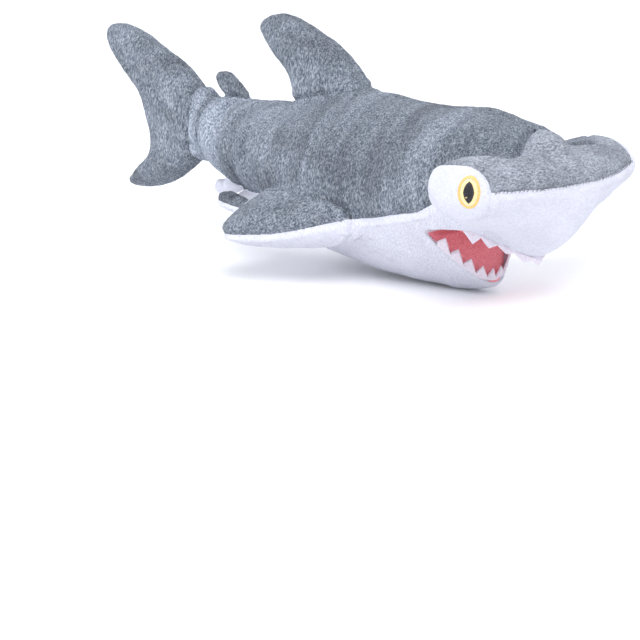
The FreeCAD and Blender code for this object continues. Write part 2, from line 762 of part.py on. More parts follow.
fill_sheet()
fin_pockets = [make_dorsal(), make_second_dorsal(), make_anal(), make_tail()]
fin_pockets += make_pectorals() + make_pelvics()
make_eye("left", 1)
make_eye("right", -1)
make_torso_and_jaw(fin_pockets)
make_teeth()
export_parts()
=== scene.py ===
"""Plush hammerhead shark: one stuffed form, cut along its seams into sewn plush panels.

The form is worked out in millimetres, in the frame of the CAD model, from a few driving sizes.
"""
import json
import math

import bmesh
import bpy
import numpy as np
from mathutils import Matrix, Vector, noise
from mathutils.bvhtree import BVHTree
from mathutils.kdtree import KDTree


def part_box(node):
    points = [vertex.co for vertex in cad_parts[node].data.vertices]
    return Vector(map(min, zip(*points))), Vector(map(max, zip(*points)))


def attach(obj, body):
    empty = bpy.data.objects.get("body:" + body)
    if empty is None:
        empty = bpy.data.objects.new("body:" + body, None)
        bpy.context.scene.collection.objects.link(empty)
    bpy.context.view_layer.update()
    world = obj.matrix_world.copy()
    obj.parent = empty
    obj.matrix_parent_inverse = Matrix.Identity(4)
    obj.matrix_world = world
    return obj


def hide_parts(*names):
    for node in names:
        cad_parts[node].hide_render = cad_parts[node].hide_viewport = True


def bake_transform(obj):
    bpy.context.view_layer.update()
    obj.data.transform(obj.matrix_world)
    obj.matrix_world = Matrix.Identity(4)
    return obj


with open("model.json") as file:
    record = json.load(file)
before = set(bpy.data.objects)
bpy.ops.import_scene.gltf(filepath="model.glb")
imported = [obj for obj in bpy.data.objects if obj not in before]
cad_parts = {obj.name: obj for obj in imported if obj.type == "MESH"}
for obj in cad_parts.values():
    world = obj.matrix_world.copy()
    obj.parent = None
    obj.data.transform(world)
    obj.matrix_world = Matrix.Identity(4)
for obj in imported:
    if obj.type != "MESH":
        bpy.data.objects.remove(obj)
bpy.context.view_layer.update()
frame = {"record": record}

MM = 0.001
joints = {j["name"]: j for j in frame["record"]["behaviour"]["joints"]}


def high(node):
    return np.array(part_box(node)[1]) / MM


def hinge_point(joint):
    return np.array(joints[joint]["pos_m"], float) / MM


def hinge_axis(joint):
    axis = np.array(joints[joint]["axis"], float)
    return axis / np.linalg.norm(axis)


# ---------------------------------------------------------------- driving sizes
VOXEL = 1.15  # size of the remesh, and so of the finest shape in the skin
TAIL_SEAM_X = hinge_point("tail_sway")[0]
BODY_LENGTH = 243.0
BODY_HEIGHT = 98.0
BODY_WIDTH = 87.0
COLOUR_SEAM = 38.0
BELLY_SINK = 0.3
BELLY_TAPER, CHIN_TAPER = 0.18, 0.45
CHIN_TAPER_FROM, CHIN_TAPER_OVER = 0.6, 0.2  # places along the body
# Place along the body; top and bottom as shares of its height; half width as a share of its width.
STATIONS = np.array([
    (0.000, 0.842, 0.490, 0.153),
    (0.070, 0.847, 0.418, 0.241),
    (0.177, 0.852, 0.332, 0.356),
    (0.300, 0.878, 0.232, 0.443),
    (0.400, 0.934, 0.112, 0.480),
    (0.498, 0.985, 0.050, 0.500),
    (0.617, 0.962, 0.022, 0.500),
    (0.728, 0.962, -0.004, 0.489),
    (0.819, 0.970, 0.020, 0.454),
    (0.877, 0.940, 0.120, 0.402),
    (0.942, 0.905, 0.465, 0.310),
    (1.000, 0.857, 0.630, 0.161),
])
NOSE_X = high("hammer_front_panel")[0]
WING_Y = high("hammer_front_panel")[1]
WING_SWEEP = {-1: 9.0, 1: 14.5}
WING_DEPTH = 39.0
WING_TOP = 81.0
WING_THICKNESS = 28.0
WING_HUMP = {-1: 2.6, 1: 1.2}  # by side: -1 is the shark's right, 1 its left
WING_HUMP_Y, WING_HUMP_WIDTH = 52, 15
WING_TOP_DROP, NOSE_INSET = 1.5, 0.8
WING_SWEEP_POWER = 1.6
WING_SAG = {-1: 0.0, 1: 4.0}
WING_ROOT_BOTTOM = 39.0
MUZZLE_BOTTOM = 21.5
MUZZLE_HALF_WIDTH = 18.5
MUZZLE_DEPTH = 58.0
MUZZLE_LEAN = 9.0
EYE_BULGE = 0.82 * (high("eye_patch_left")[1] - WING_Y)
FRONT_SEAM_Z = 65.3
EYE_FORWARD = {-1: 11.2, 1: 8.0}
EYE_RISE = 2.3
EYE_HALF_WIDTH, EYE_HALF_HEIGHT = 5.6, 7.9
EYE_TURN = 23  # degrees that an eye looks forward of straight out
MOUTH = hinge_point("jaw_open") + [2.0, 0, 0]
ROOF_ANGLE = 18.0
FLOOR_ANGLE = 55.5
LIP_ARCH = 22.0
LIP_ARCH_Y = 30.0
LIP_GAP = 0.5
MOUTH_SIDE = 60
JAW_BLEND_X = 70.0
MOUTH_REACH = 60.0

DORSAL_OUTLINE = [
    (1.06, -0.16), (1.00, 0.02), (0.86, 0.27), (0.62, 0.56), (0.20, 0.86), (-0.12, 0.985),
    (-0.37, 0.90), (-0.26, 0.64), (-0.06, 0.32), (0.02, 0.02), (0.10, -0.16),
]
FINGER_OUTLINE = [
    (1.00, -0.4), (0.98, 0.06), (0.74, 0.42), (0.34, 0.84), (-0.12, 1.04),
    (-0.42, 0.86), (-0.34, 0.46), (-0.02, 0.04), (0.1, -0.4),
]
PECTORAL_OUTLINE = [
    (1.02, -0.25), (1.00, 0.02), (0.80, 0.38), (0.50, 0.74), (0.27, 0.96), (0.12, 1.00),
    (0.04, 0.80), (0.01, 0.42), (0.04, 0.0), (0.08, -0.25),
]
PELVIC_OUTLINE = [
    (1.00, -0.2), (1.04, 0.40), (0.88, 0.84), (0.60, 0.99), (0.30, 0.86),
    (0.04, 0.42), (0.00, -0.2),
]
TAIL_OUTLINE = [
    (0.33, -0.10), (0.41, 0.02), (0.60, 0.165), (0.76, 0.37), (0.89, 0.57), (0.985, 0.77),
    (0.95, 0.93), (0.81, 0.97), (0.68, 0.89), (0.50, 0.73), (0.26, 0.615),
    (0.00, 0.545), (-0.33, 0.50), (-0.56, 0.55), (-0.78, 0.70), (-0.93, 0.78),
    (-1.00, 0.67), (-0.90, 0.38), (-0.62, 0.14), (-0.46, 0.02), (-0.38, -0.10),
]

# Chord along the root, height and thickness of each fin.
DORSAL_SIZE = (49.5, 50.6, 23.0)
SECOND_DORSAL_SIZE = (18.0, 15.0, 11.5)
ANAL_SIZE = (16.0, 15.0, 13.0)
PECTORAL_SIZE = (67.0, 36.5, 25.0)
PELVIC_SIZE = (21.0, 30.0, 12.5)
PECTORAL_DROOP = 12.0
PELVIC_LIFT = 4.5
TAIL_RISE, TAIL_DROP, TAIL_LENGTH, TAIL_THICKNESS = 55.3, 43.6, 79.8, 26.0
TAIL_MIDDLE = (-8.0, 10.0)  # centre of the tail's rings: up from the hinge, and behind it
FIN_RING_POINTS, FIN_RINGS = 120, 14
FIN_INNER_RING, FIN_OUTER_RING = 0.04, 0.985
FIN_PUFF = 2.4  # a higher power keeps the fin full nearer its edge
FIN_FLARE_REACH = 0.35
FIN_TIP_TAPER = 0.25


# ---------------------------------------------------------------- curves and closed forms
def spline(xs, ys, x):
    """Natural cubic spline through the points, read at x."""
    n, gap = len(xs), np.diff(xs)
    lhs, rhs = np.eye(n), np.zeros(n)
    for i in range(1, n - 1):
        lhs[i, i - 1:i + 2] = gap[i - 1], 2 * (gap[i - 1] + gap[i]), gap[i]
        rhs[i] = 6 * ((ys[i + 1] - ys[i]) / gap[i] - (ys[i] - ys[i - 1]) / gap[i - 1])
    bend = np.linalg.solve(lhs, rhs)
    i = np.clip(np.searchsorted(xs, x) - 1, 0, n - 2)
    a, b = xs[i + 1] - x, x - xs[i]
    return ((bend[i] * a ** 3 + bend[i + 1] * b ** 3) / (6 * gap[i])
            + (ys[i] / gap[i] - bend[i] * gap[i] / 6) * a
            + (ys[i + 1] / gap[i] - bend[i + 1] * gap[i] / 6) * b)


def closed_spline(points, count):
    """Catmull-Rom loop through the points."""
    p = np.array(points, float)
    n = len(p)
    t = np.arange(count) * n / count
    i = t.astype(int)
    f = (t - i)[:, None]
    a, b, c, d = [p[(i + k) % n] for k in (-1, 0, 1, 2)]
    square = (2 * a - 5 * b + 4 * c - d) * f ** 2
    cube = (3 * b - a - 3 * c + d) * f ** 3
    return 0.5 * (2 * b + (c - a) * f + square + cube)


def tube(rings):
    """Closed mesh data through rings of points, capped at both ends."""
    rings = np.asarray(rings)
    count, around, _ = rings.shape
    faces = []
    for i in range(count - 1):
        for j in range(around):
            k = (j + 1) % around
            faces.append((i * around + j, i * around + k, (i + 1) * around + k, (i + 1) * around + j))
    faces.append(tuple(range(around))[::-1])
    faces.append(tuple(range((count - 1) * around, count * around)))
    return rings.reshape(-1, 3), faces


def body_at(place):
    """Top, bottom and half width of the body, in millimetres."""
    top, bottom, half = [spline(STATIONS[:, 0], STATIONS[:, k], place) for k in (1, 2, 3)]
    return top * BODY_HEIGHT, bottom * BODY_HEIGHT, half * BODY_WIDTH


def taper_at(place):
    """How much the lower half of the body narrows towards its bottom."""
    forward = (place - CHIN_TAPER_FROM) / CHIN_TAPER_OVER
    return BELLY_TAPER + (CHIN_TAPER - BELLY_TAPER) * min(1.0, max(0.0, forward))


def body_form():
    """The stuffed body, from the tail's seam to a rounded end inside the head."""
    turns = np.linspace(0, 2 * math.pi, 72, endpoint=False)
    rings = []
    for place in np.linspace(0, 1, 110):
        top, bottom, half = body_at(place)
        taper = taper_at(place)
        narrow = 1 - taper * np.maximum(0, -np.cos(turns))
        x = np.full_like(turns, TAIL_SEAM_X + place * BODY_LENGTH)
        y = half * np.sin(turns) * narrow
        z = (top + bottom) / 2 + (top - bottom) / 2 * np.cos(turns)
        z = np.maximum(z, BELLY_SINK + 0.02 * (z - BELLY_SINK))
        rings.append(np.stack([x, y, z], 1))
    last = rings[-1]
    middle = last.mean(0)
    for share, ahead in ((0.8, 3.0), (0.45, 5.0)):
        rings.append((last - middle) * share + middle + [ahead, 0, 0])
    return tube(rings)


def wing_section(y):
    """Front, depth, lean, top and bottom of the hammer head at a distance across it."""
    share = min(1.0, abs(y) / WING_Y)
    bottom = WING_ROOT_BOTTOM + (WING_TOP - WING_THICKNESS - WING_ROOT_BOTTOM) * share ** 2
    bottom -= math.exp(-(y / MUZZLE_HALF_WIDTH) ** 2) * (WING_ROOT_BOTTOM - MUZZLE_BOTTOM)
    side = 1 if y > 0 else -1
    hump = WING_HUMP[side] * math.exp(-((abs(y) - WING_HUMP_Y) / WING_HUMP_WIDTH) ** 2)
    top = WING_TOP - WING_TOP_DROP + hump
    sag = WING_SAG[side] * share
    top, bottom = top - sag, bottom - sag
    deep = 1 - share ** 2
    front = NOSE_X - NOSE_INSET - WING_SWEEP[side] * share ** WING_SWEEP_POWER
    return front, WING_DEPTH + deep * (MUZZLE_DEPTH - WING_DEPTH), deep * MUZZLE_LEAN, top, bottom


def hammer_form():
    """The hammer head, from one wing's end to the other."""
    turns = np.linspace(0, 2 * math.pi, 64, endpoint=False)
    rings = []
    for y in np.linspace(-WING_Y, WING_Y, 90):
        front, depth, lean, top, bottom = wing_section(y)
        centre_x = front - math.hypot(depth / 2, lean)
        x = centre_x + depth / 2 * np.sin(turns) + lean * np.cos(turns)
        z = (top + bottom) / 2 + (top - bottom) / 2 * np.cos(turns)
        rings.append(np.stack([x, np.full_like(x, y), z], 1))
    return tube(rings)


def eye_cap_form(sign):
    """The bulging end of a wing."""
    front, depth, lean, top, bottom = wing_section(sign * WING_Y)
    turns = np.linspace(0, 2 * math.pi, 48, endpoint=False)
    rings = []
    for out in np.linspace(-0.5, 0.999, 24):
        shrink = math.sqrt(1 - max(0.0, out) ** 2.1)
        x = front - depth / 2 + depth / 2 * shrink * np.sin(turns)
        z = (top + bottom) / 2 + (top - bottom) / 2 * shrink * np.cos(turns)
        rings.append(np.stack([x, np.full_like(x, sign * (WING_Y + out * EYE_BULGE)), z], 1))
    return tube(rings if sign > 0 else rings[::-1])


class Fin:
    """A puffy fin in its own frame: s along the root, h away from the body, t across."""

    def __init__(self, joint, along, outward, outline, size, root_flare=0.0, edge=0.55):
        chord, height, thickness = size
        self.origin = hinge_point(joint)
        self.along = np.array(along, float) / np.linalg.norm(along)
        self.outward = np.array(outward, float) / np.linalg.norm(outward)
        self.across = np.cross(self.outward, self.along)
        self.outline = [(s * chord, h * height) for s, h in outline]
        self.outline_name = "pectoral" if outline is PECTORAL_OUTLINE else "other"
        self.chord, self.height, self.thickness = chord, height, thickness
        self.root_flare, self.edge, self.middle = root_flare, edge, None

    def local(self, p):
        """Distances along, across and away from the body, for points of the model."""
        q = p - self.origin
        return q @ self.along, q @ self.across, q @ self.outward

    def world(self, s, t, h):
        """Points of the model from distances in the fin's frame."""
        return (self.origin + np.multiply.outer(s, self.along) + np.multiply.outer(t, self.across)
                + np.multiply.outer(h, self.outward))

    def form(self):
        """Rings that shrink from the outline to its middle, puffed out on both sides."""
        loop = closed_spline(self.outline, FIN_RING_POINTS)
        middle = loop.mean(0) if self.middle is None else np.array(self.middle)
        shares = np.linspace(FIN_INNER_RING, FIN_OUTER_RING, FIN_RINGS)
        backwards = np.linspace(FIN_OUTER_RING, FIN_INNER_RING, FIN_RINGS)
        levels = [(share, 1) for share in shares] + [(share, -1) for share in backwards]
        rings = []
        for share, side in levels:
            s, h = (middle + (loop - middle) * share).T
            puff = self.thickness / 2 * (1 - share ** FIN_PUFF) ** self.edge
            flare = 1 + self.root_flare * np.exp(-np.maximum(h, 0) / (FIN_FLARE_REACH * self.height))
            taper = 1 - FIN_TIP_TAPER * np.clip(h / self.height, 0, 1)
            rings.append(self.world(s, side * puff * flare * taper, h))
        return tube(rings)

    def beyond_root(self, p, lift=1.0, overhang=0.9):
        """Positive on the fin, negative on the body."""
        s, t, h = self.local(p)
        return h - lift - overhang * np.maximum(0, -s)


def make_fins():
    """Every fin and the tail, each on the hinge of its own joint."""
    fins = {}
    dorsal_axis = hinge_axis("dorsal_fin_flop")
    dorsal_outward = (-dorsal_axis[2], 0, dorsal_axis[0])
    fins["dorsal"] = Fin("dorsal_fin_flop", dorsal_axis, dorsal_outward, DORSAL_OUTLINE,
                         DORSAL_SIZE, root_flare=0.35)
    fins["second_dorsal"] = Fin("second_dorsal_fin_flop", (1, 0, 0), (0, 0, 1), FINGER_OUTLINE,
                                SECOND_DORSAL_SIZE)
    anal_axis = hinge_axis("anal_fin_flop")
    anal_outward = (anal_axis[2], 0, -anal_axis[0])
    fins["anal"] = Fin("anal_fin_flop", anal_axis, anal_outward, FINGER_OUTLINE, ANAL_SIZE)
    droop = math.radians(PECTORAL_DROOP)
    for side, sign in (("left", 1), ("right", -1)):
        outward = (0, sign * math.cos(droop), -math.sin(droop))
        fins[f"pectoral_{side}"] = Fin(f"pectoral_{side}_flap", (1, 0, 0), outward, PECTORAL_OUTLINE,
                                       PECTORAL_SIZE, root_flare=0.3)
        pelvic = Fin(f"pelvic_{side}_flap", (0, sign, 0), (-1, 0, 0.06), PELVIC_OUTLINE, PELVIC_SIZE)
        pelvic.origin = pelvic.origin + [0, 0, PELVIC_LIFT]
        fins[f"pelvic_{side}"] = pelvic
    fins["tail"] = make_tail()
    return fins


def make_tail():
    """The tail is a fin too, with its outline given above and below its middle."""
    tail = Fin("tail_sway", (0, 0, 1), (-1, 0, 0), [], (1.0, TAIL_LENGTH, TAIL_THICKNESS), edge=0.5)
    tail.outline = [
        (s * (TAIL_RISE if s > 0 else TAIL_DROP), h * TAIL_LENGTH) for s, h in TAIL_OUTLINE
    ]
    tail.middle = TAIL_MIDDLE
    return tail


def lip_arch(y):
    """Degrees by which the roof of the mouth rises at a distance from the middle."""
    return min(LIP_ARCH, LIP_ARCH * (abs(y) / LIP_ARCH_Y) ** 2)


def mouth_form():
    """The open space of the mouth: a wedge from its corner, arched over the cheeks."""
    ys = np.linspace(-MOUTH_SIDE, MOUTH_SIDE, MOUTH_SIDE + 1)
    reach = np.linspace(0.0, MOUTH_REACH, 40)
    upper, lower = [], []
    for y in ys:
        lips = ((upper, ROOF_ANGLE - lip_arch(y), LIP_GAP), (lower, FLOOR_ANGLE, -LIP_GAP))
        for side, angle, lift in lips:
            turn = math.radians(angle)
            x = MOUTH[0] + reach * math.cos(turn)
            z = MOUTH[2] + lift - reach * math.sin(turn)
            side.append(list(zip(x, np.full_like(x, y), z)))
    rings = [np.array(above + below[::-1]) for above, below in zip(upper, lower)]
    return tube(rings)


# ---------------------------------------------------------------- from forms to one skin
def mesh_object(name, verts, faces):
    """An object from points in millimetres."""
    mesh = bpy.data.meshes.new(name)
    mesh.from_pydata((np.asarray(verts) * MM).tolist(), [], faces)
    mesh.validate()
    mesh.update()
    obj = bpy.data.objects.new(name, mesh)
    bpy.context.scene.collection.objects.link(obj)
    return obj


def smooth_object(name, verts, faces):
    """A smooth-shaded object from points in metres."""
    mesh = bpy.data.meshes.new(name)
    mesh.from_pydata(verts, [], faces)
    mesh.polygons.foreach_set("use_smooth", [True] * len(mesh.polygons))
    mesh.update()
    obj = bpy.data.objects.new(name, mesh)
    bpy.context.scene.collection.objects.link(obj)
    return obj


def outward_normals(obj):
    """Turns every face of a closed mesh outwards."""
    bm = bmesh.new()
    bm.from_mesh(obj.data)
    bmesh.ops.recalc_face_normals(bm, faces=bm.faces)
    bm.to_mesh(obj.data)
    bm.free()


def baked(obj):
    """Applies every modifier to the object's mesh."""
    graph = bpy.context.evaluated_depsgraph_get()
    mesh = bpy.data.meshes.new_from_object(obj.evaluated_get(graph))
    obj.modifiers.clear()
    obj.data = mesh
    return obj


def remeshed(obj):
    """The object's outer surface as one even mesh."""
    mod = obj.modifiers.new("remesh", "REMESH")
    mod.mode = "VOXEL"
    mod.voxel_size = VOXEL * MM
    mod.adaptivity = 0.0
    return baked(obj)


def mesh_arrays(mesh):
    """Points in millimetres, edges and point normals of a mesh."""
    co = np.empty(len(mesh.vertices) * 3)
    mesh.vertices.foreach_get("co", co)
    edges = np.empty(len(mesh.edges) * 2, int)
    mesh.edges.foreach_get("vertices", edges)
    normals = np.empty(len(mesh.vertices) * 3)
    mesh.vertex_normals.foreach_get("vector", normals)
    return co.reshape(-1, 3) / MM, edges.reshape(-1, 2), normals.reshape(-1, 3)


def smoothed(co, edges, rounds, weight=0.5):
    """Laplacian smoothing; weight may be a number or one value per point."""
    degree = np.bincount(edges.ravel(), minlength=len(co)).astype(float)[:, None]
    for _ in range(rounds):
        total = np.zeros_like(co)
        np.add.at(total, edges[:, 0], co[edges[:, 1]])
        np.add.at(total, edges[:, 1], co[edges[:, 0]])
        co = co + (total / degree - co) * weight
    return co


def stuffed_form(fins):
    """Body, head and fins as one closed skin, with the mouth opened in it."""
    forms = [body_form(), hammer_form(), eye_cap_form(1), eye_cap_form(-1)]
    forms += [fin.form() for fin in fins.values()]
    verts, faces, start = [], [], 0
    for points, polygons in forms:
        piece = mesh_object("form", points, polygons)
        outward_normals(piece)
        co, _, _ = mesh_arrays(piece.data)
        verts.append(co)
        faces += [tuple(start + v for v in poly.vertices) for poly in piece.data.polygons]
        start += len(co)
        bpy.data.objects.remove(piece)
    skin = mesh_object("skin", np.concatenate(verts), faces)
    remeshed(skin)
    mouth = mesh_object("mouth", *mouth_form())
    outward_normals(mouth)
    opening = skin.modifiers.new("mouth", "BOOLEAN")
    opening.operation = "DIFFERENCE"
    opening.solver = "EXACT"
    opening.object = mouth
    baked(skin)
    bpy.data.objects.remove(mouth)
    return remeshed(skin)


# ---------------------------------------------------------------- shaping the skin
JOIN_SMOOTHING = 9
STUFFING_LUMPS = [(1.3, 34, 3), (0.55, 13, 8), (0.16, 5.0, 5), (0.2, 2.3, 11)]  # height, size, seed
FOLD_DEPTH = 5.0
NECK_DEPTH, NECK_SWELL = 3.4, 1.1
FLOOR_CLEARANCE = 0.35


def smoothstep(value):
    """Eases from 0 to 1."""
    value = np.clip(value, 0, 1)
    return value * value * (3 - 2 * value)


def lumps(points, size, seed):
    """Smooth random field over the points, one bump per size millimetres."""
    shift = Vector((seed, seed * 1.7, seed * 0.3))
    return np.array([noise.noise(Vector(p) / size + shift) for p in points])


def colour_line(x, y):
    """Height where the grey back meets the white belly, along the flank."""
    rise = 8.0 * smoothstep((x - 55) / 45.0)
    front = 10.0 * smoothstep((x - 92) / 22.0)
    rear = 4.0 * smoothstep((-x - 30) / 60.0)
    return COLOUR_SEAM + rise + front - rear


def body_folds(co):
    """Depth of the folds round the narrow rear of the body."""
    narrow = smoothstep((10 - co[:, 0]) / 70) * (co[:, 0] > TAIL_SEAM_X)
    wander = co[:, 0] * 0.36 + 0.07 * co[:, 2] + 2.6 * lumps(co, 32, 2)
    flank = smoothstep((90 - co[:, 2]) / 6) * smoothstep((co[:, 2] - 30) / 8)
    flank = flank * smoothstep((46 - np.abs(co[:, 1])) / 4)
    waves = np.maximum(0, np.sin(wander)) ** 4
    return FOLD_DEPTH * narrow * flank * waves * (0.55 + lumps(co, 26, 14))


def neck_crease(co):
    """Depth of the crease behind the hammer, with the swell ahead of it."""
    ahead = co[:, 0] - neck_line(co[:, 1])
    on_top = smoothstep((co[:, 2] - 60) / 8) * np.where(co[:, 1] < 0, 1.0, 0.2)
    return (NECK_DEPTH * np.exp(-(ahead / 3.0) ** 2) - NECK_SWELL * np.exp(-((ahead - 8) / 5) ** 2)) * on_top


def settled(skin):
    """Softens the joins and adds the unevenness of a stuffed, sewn toy."""
    co, edges, _ = mesh_arrays(skin.data)
    near_mouth = (co[:, 0] > MOUTH[0] - 4) & (co[:, 2] < MOUTH[2] + 6) & (np.abs(co[:, 1]) < 42)
    weight = np.where(near_mouth, 0.12, 0.5)[:, None]
    co = smoothed(co, edges, JOIN_SMOOTHING, weight)
    skin.data.vertices.foreach_set("co", (co * MM).ravel())
    skin.data.update()
    co, edges, normals = mesh_arrays(skin.data)
    rise = sum(height * lumps(co, size, seed) for height, size, seed in STUFFING_LUMPS)
    rise -= body_folds(co) + neck_crease(co)
    rise *= np.where(near_mouth, 0.25, 1.0)
    co = co + normals * rise[:, None]
    co[:, 2] = np.maximum(co[:, 2], FLOOR_CLEARANCE)
    skin.data.vertices.foreach_set("co", (co * MM).ravel())
    skin.data.update()
    return skin


ON_LINE = 1e-3
NEAR_CORNER = 0.04


class Cutter:
    """Cuts a mesh along the zero line of a field and labels the two sides."""

    def __init__(self, mesh):
        self.bm = bmesh.new()
        self.bm.from_mesh(mesh)
        bmesh.ops.triangulate(self.bm, faces=self.bm.faces)
        self.label = self.bm.faces.layers.int.new("panel")

    def cut(self, values, old_label, new_label):
        """Faces with old_label on the positive side of the field become new_label."""
        bm, label = self.bm, self.label
        bm.verts.ensure_lookup_table()
        bm.verts.index_update()
        wanted = [f for f in bm.faces if f[label] in old_label]
        verts = list({v for f in wanted for v in f.verts})
        points = np.array([v.co for v in verts]) / MM
        found = values(points)
        field = dict(zip(verts, np.where(np.abs(found) < ON_LINE, ON_LINE, found)))
        edges = list({e for f in wanted for e in f.edges})
        fresh = set()
        for edge in edges:
            a, b = edge.verts
            if field[a] * field[b] >= 0:
                continue
            share = field[a] / (field[a] - field[b])
            share = min(1 - NEAR_CORNER, max(NEAR_CORNER, share))
            _, vert = bmesh.utils.edge_split(edge, a, share)
            fresh.add(vert)
        for face in [f for f in bm.faces if f[label] in old_label]:
            on_line = [v for v in face.verts if v in fresh]
            if len(on_line) == 2:
                bmesh.utils.face_split(face, on_line[0], on_line[1])
        for face in bm.faces:
            if face[label] not in old_label:
                continue
            known = [field[v] for v in face.verts if v in field and v not in fresh]
            if sum(known) > 0:
                face[label] = new_label

    def triangulate(self):
        bmesh.ops.triangulate(self.bm, faces=[f for f in self.bm.faces if len(f.verts) > 3])


BODY = 0
(BACK_LEFT, BACK_RIGHT, BELLY, HAMMER_TOP, HAMMER_FRONT, PATCH_LEFT, PATCH_RIGHT, JAW,
 ROOF_LINING, FLOOR_LINING) = range(1, 11)
FIN_LABELS = 20


def neck_line(y):
    """X of the crease across the top, where the hammer meets the hood of the back."""
    away = np.abs(y)
    return 137 + 9 * smoothstep(away / 42) - 24 * smoothstep((away - 40) / 28)


def hammer_field(p):
    """Positive ahead of the crease where the hammer meets the body."""
    x, y, z = p.T
    neck_x = neck_line(y)
    edge = neck_x + (131 - neck_x) * smoothstep((60 - z) / 12)
    wing = np.minimum(np.minimum(np.abs(y) - 46, x - 108), 60 - z)
    patch = np.minimum(np.abs(y) - WING_Y, x - 108)
    return np.maximum(np.maximum(x - edge, wing), patch)


def front_seam_field(p):
    """Positive below the seam along the front edge and rear edge of the hammer."""
    x, y, z = p.T
    rear = smoothstep((132 - x) / 12.0) * smoothstep((np.abs(y) - 38) / 10.0)
    seam = FRONT_SEAM_Z + 3.5 * (np.abs(y) / WING_Y) ** 2 - 6.0 * rear
    seam -= np.where(y > 0, WING_SAG[1], WING_SAG[-1]) * np.minimum(1, np.abs(y) / WING_Y)
    cheek = smoothstep((146 - x) / 26.0) * (1 - smoothstep((np.abs(y) - 42) / 12.0))
    seam -= 14.0 * cheek
    return seam - z


def eye_patch_field(sign):
    """Positive on the end of one wing."""
    def field(p):
        return sign * p[:, 1] - (WING_Y + 0.4)
    return field


def belly_field(p):
    """Positive below the line where the grey back meets the white belly."""
    x, y, z = p.T
    return colour_line(x, y) - z


def jaw_field(p):
    """Positive under the mouth and its corner."""
    return np.minimum(p[:, 0] - JAW_BLEND_X, MOUTH[2] + 0.2 - p[:, 2])


def fin_seam(fin):
    """Zero where the fin's two panels meet; a pectoral's seam rises towards its front root."""
    def field(p):
        s, t, _ = fin.local(p)
        if fin.outline_name != "pectoral":
            return t
        return t - math.copysign(3.5, fin.across[2]) * smoothstep((s / fin.chord - 0.5) / 0.5)
    return field


BODY_MARGIN = 2.0


def outside_body(p):
    """About how far points lie outside the body's own form, in millimetres."""
    place = np.clip((p[:, 0] - TAIL_SEAM_X) / BODY_LENGTH, 0, 1)
    top, bottom, half = body_at(place)
    tall = (top - bottom) / 2
    reach = np.hypot(p[:, 1] / half, (p[:, 2] - (top + bottom) / 2) / tall)
    return (reach - 1) * np.minimum(half, tall)


FIN_ROOTS = {
    "dorsal": dict(lift=1.0, overhang=0.9), "second_dorsal": dict(lift=0.8, overhang=0.9),
    "anal": dict(lift=0.8, overhang=0.9),
}


def on_fin(name, fin):
    """Positive on the fin, beyond the seam that joins it to the body."""
    def field(p):
        s, t, h = fin.local(p)
        away = np.abs(s - fin.chord * 0.4)
        if name in FIN_ROOTS:
            near = np.minimum(fin.thickness * 0.9 - np.abs(t), fin.chord * 1.2 - away)
            return np.minimum(fin.beyond_root(p, **FIN_ROOTS[name]), near)
        if name == "tail":
            return TAIL_SEAM_X - p[:, 0] - 1.0
        if name.startswith("pectoral"):
            near = np.minimum(fin.thickness * 0.64 - np.abs(t), fin.chord * 1.15 - away)
            return np.minimum(h - 0.6, near)
        near = np.minimum(fin.thickness * 0.8 - np.abs(t), np.minimum(s + 3, fin.chord + 3 - s))
        near = np.minimum(near, fin.height * 1.3 - h)
        return np.minimum(np.minimum(h - 3.0, near), outside_body(p) - BODY_MARGIN)
    return field


def cut_panels(skin, fins):
    """Labels every face of the skin with the sewn panel it belongs to."""
    cutter = Cutter(skin.data)
    labels = {}
    for number, (name, fin) in enumerate(fins.items()):
        # each fin has two labels: one for either side of its own seam
        first = FIN_LABELS + 2 * number
        labels[name] = (first, first + 1)
        cutter.cut(on_fin(name, fin), [BODY], first)
        cutter.triangulate()
        cutter.cut(fin_seam(fin), [first], first + 1)
        cutter.triangulate()
    steps = [
        (hammer_field, [BODY], HAMMER_TOP),
        (eye_patch_field(1), [HAMMER_TOP], PATCH_LEFT),
        (eye_patch_field(-1), [HAMMER_TOP], PATCH_RIGHT),
        (front_seam_field, [HAMMER_TOP], HAMMER_FRONT),
        (belly_field, [BODY], BELLY),
        (lambda p: p[:, 1], [BODY], BACK_LEFT),
    ]
    for field, old, new in steps:
        cutter.cut(field, old, new)
        cutter.triangulate()
    for face in cutter.bm.faces:
        if face[cutter.label] == BODY:
            face[cutter.label] = BACK_RIGHT
    line_mouth(cutter)
    cutter.cut(jaw_field, [BELLY, BACK_LEFT, BACK_RIGHT], JAW)
    cutter.triangulate()
    return cutter, labels


LINING_REACH = 2.6


def line_mouth(cutter):
    """Labels the faces inside the opening as the two felt linings."""
    for face in cutter.bm.faces:
        p = np.array(face.calc_center_median()) / MM
        reach = p[0] - MOUTH[0]
        if reach < -2 or abs(p[1]) > 44 or p[2] > MOUTH[2] + 3:
            continue
        roof = MOUTH[2] - reach * math.tan(math.radians(ROOF_ANGLE - lip_arch(p[1])))
        floor = MOUTH[2] - reach * math.tan(math.radians(FLOOR_ANGLE))
        n = face.normal
        roof_margin = 4.0 if p[0] < 124 else 7.0
        if abs(p[2] - roof) < LINING_REACH and n.z < -0.55 and inside_lips(p, roof_margin):
            face[cutter.label] = ROOF_LINING
        elif abs(p[2] - floor) < LINING_REACH and n.z > 0.3 and inside_lips(p, 3.4):
            face[cutter.label] = FLOOR_LINING


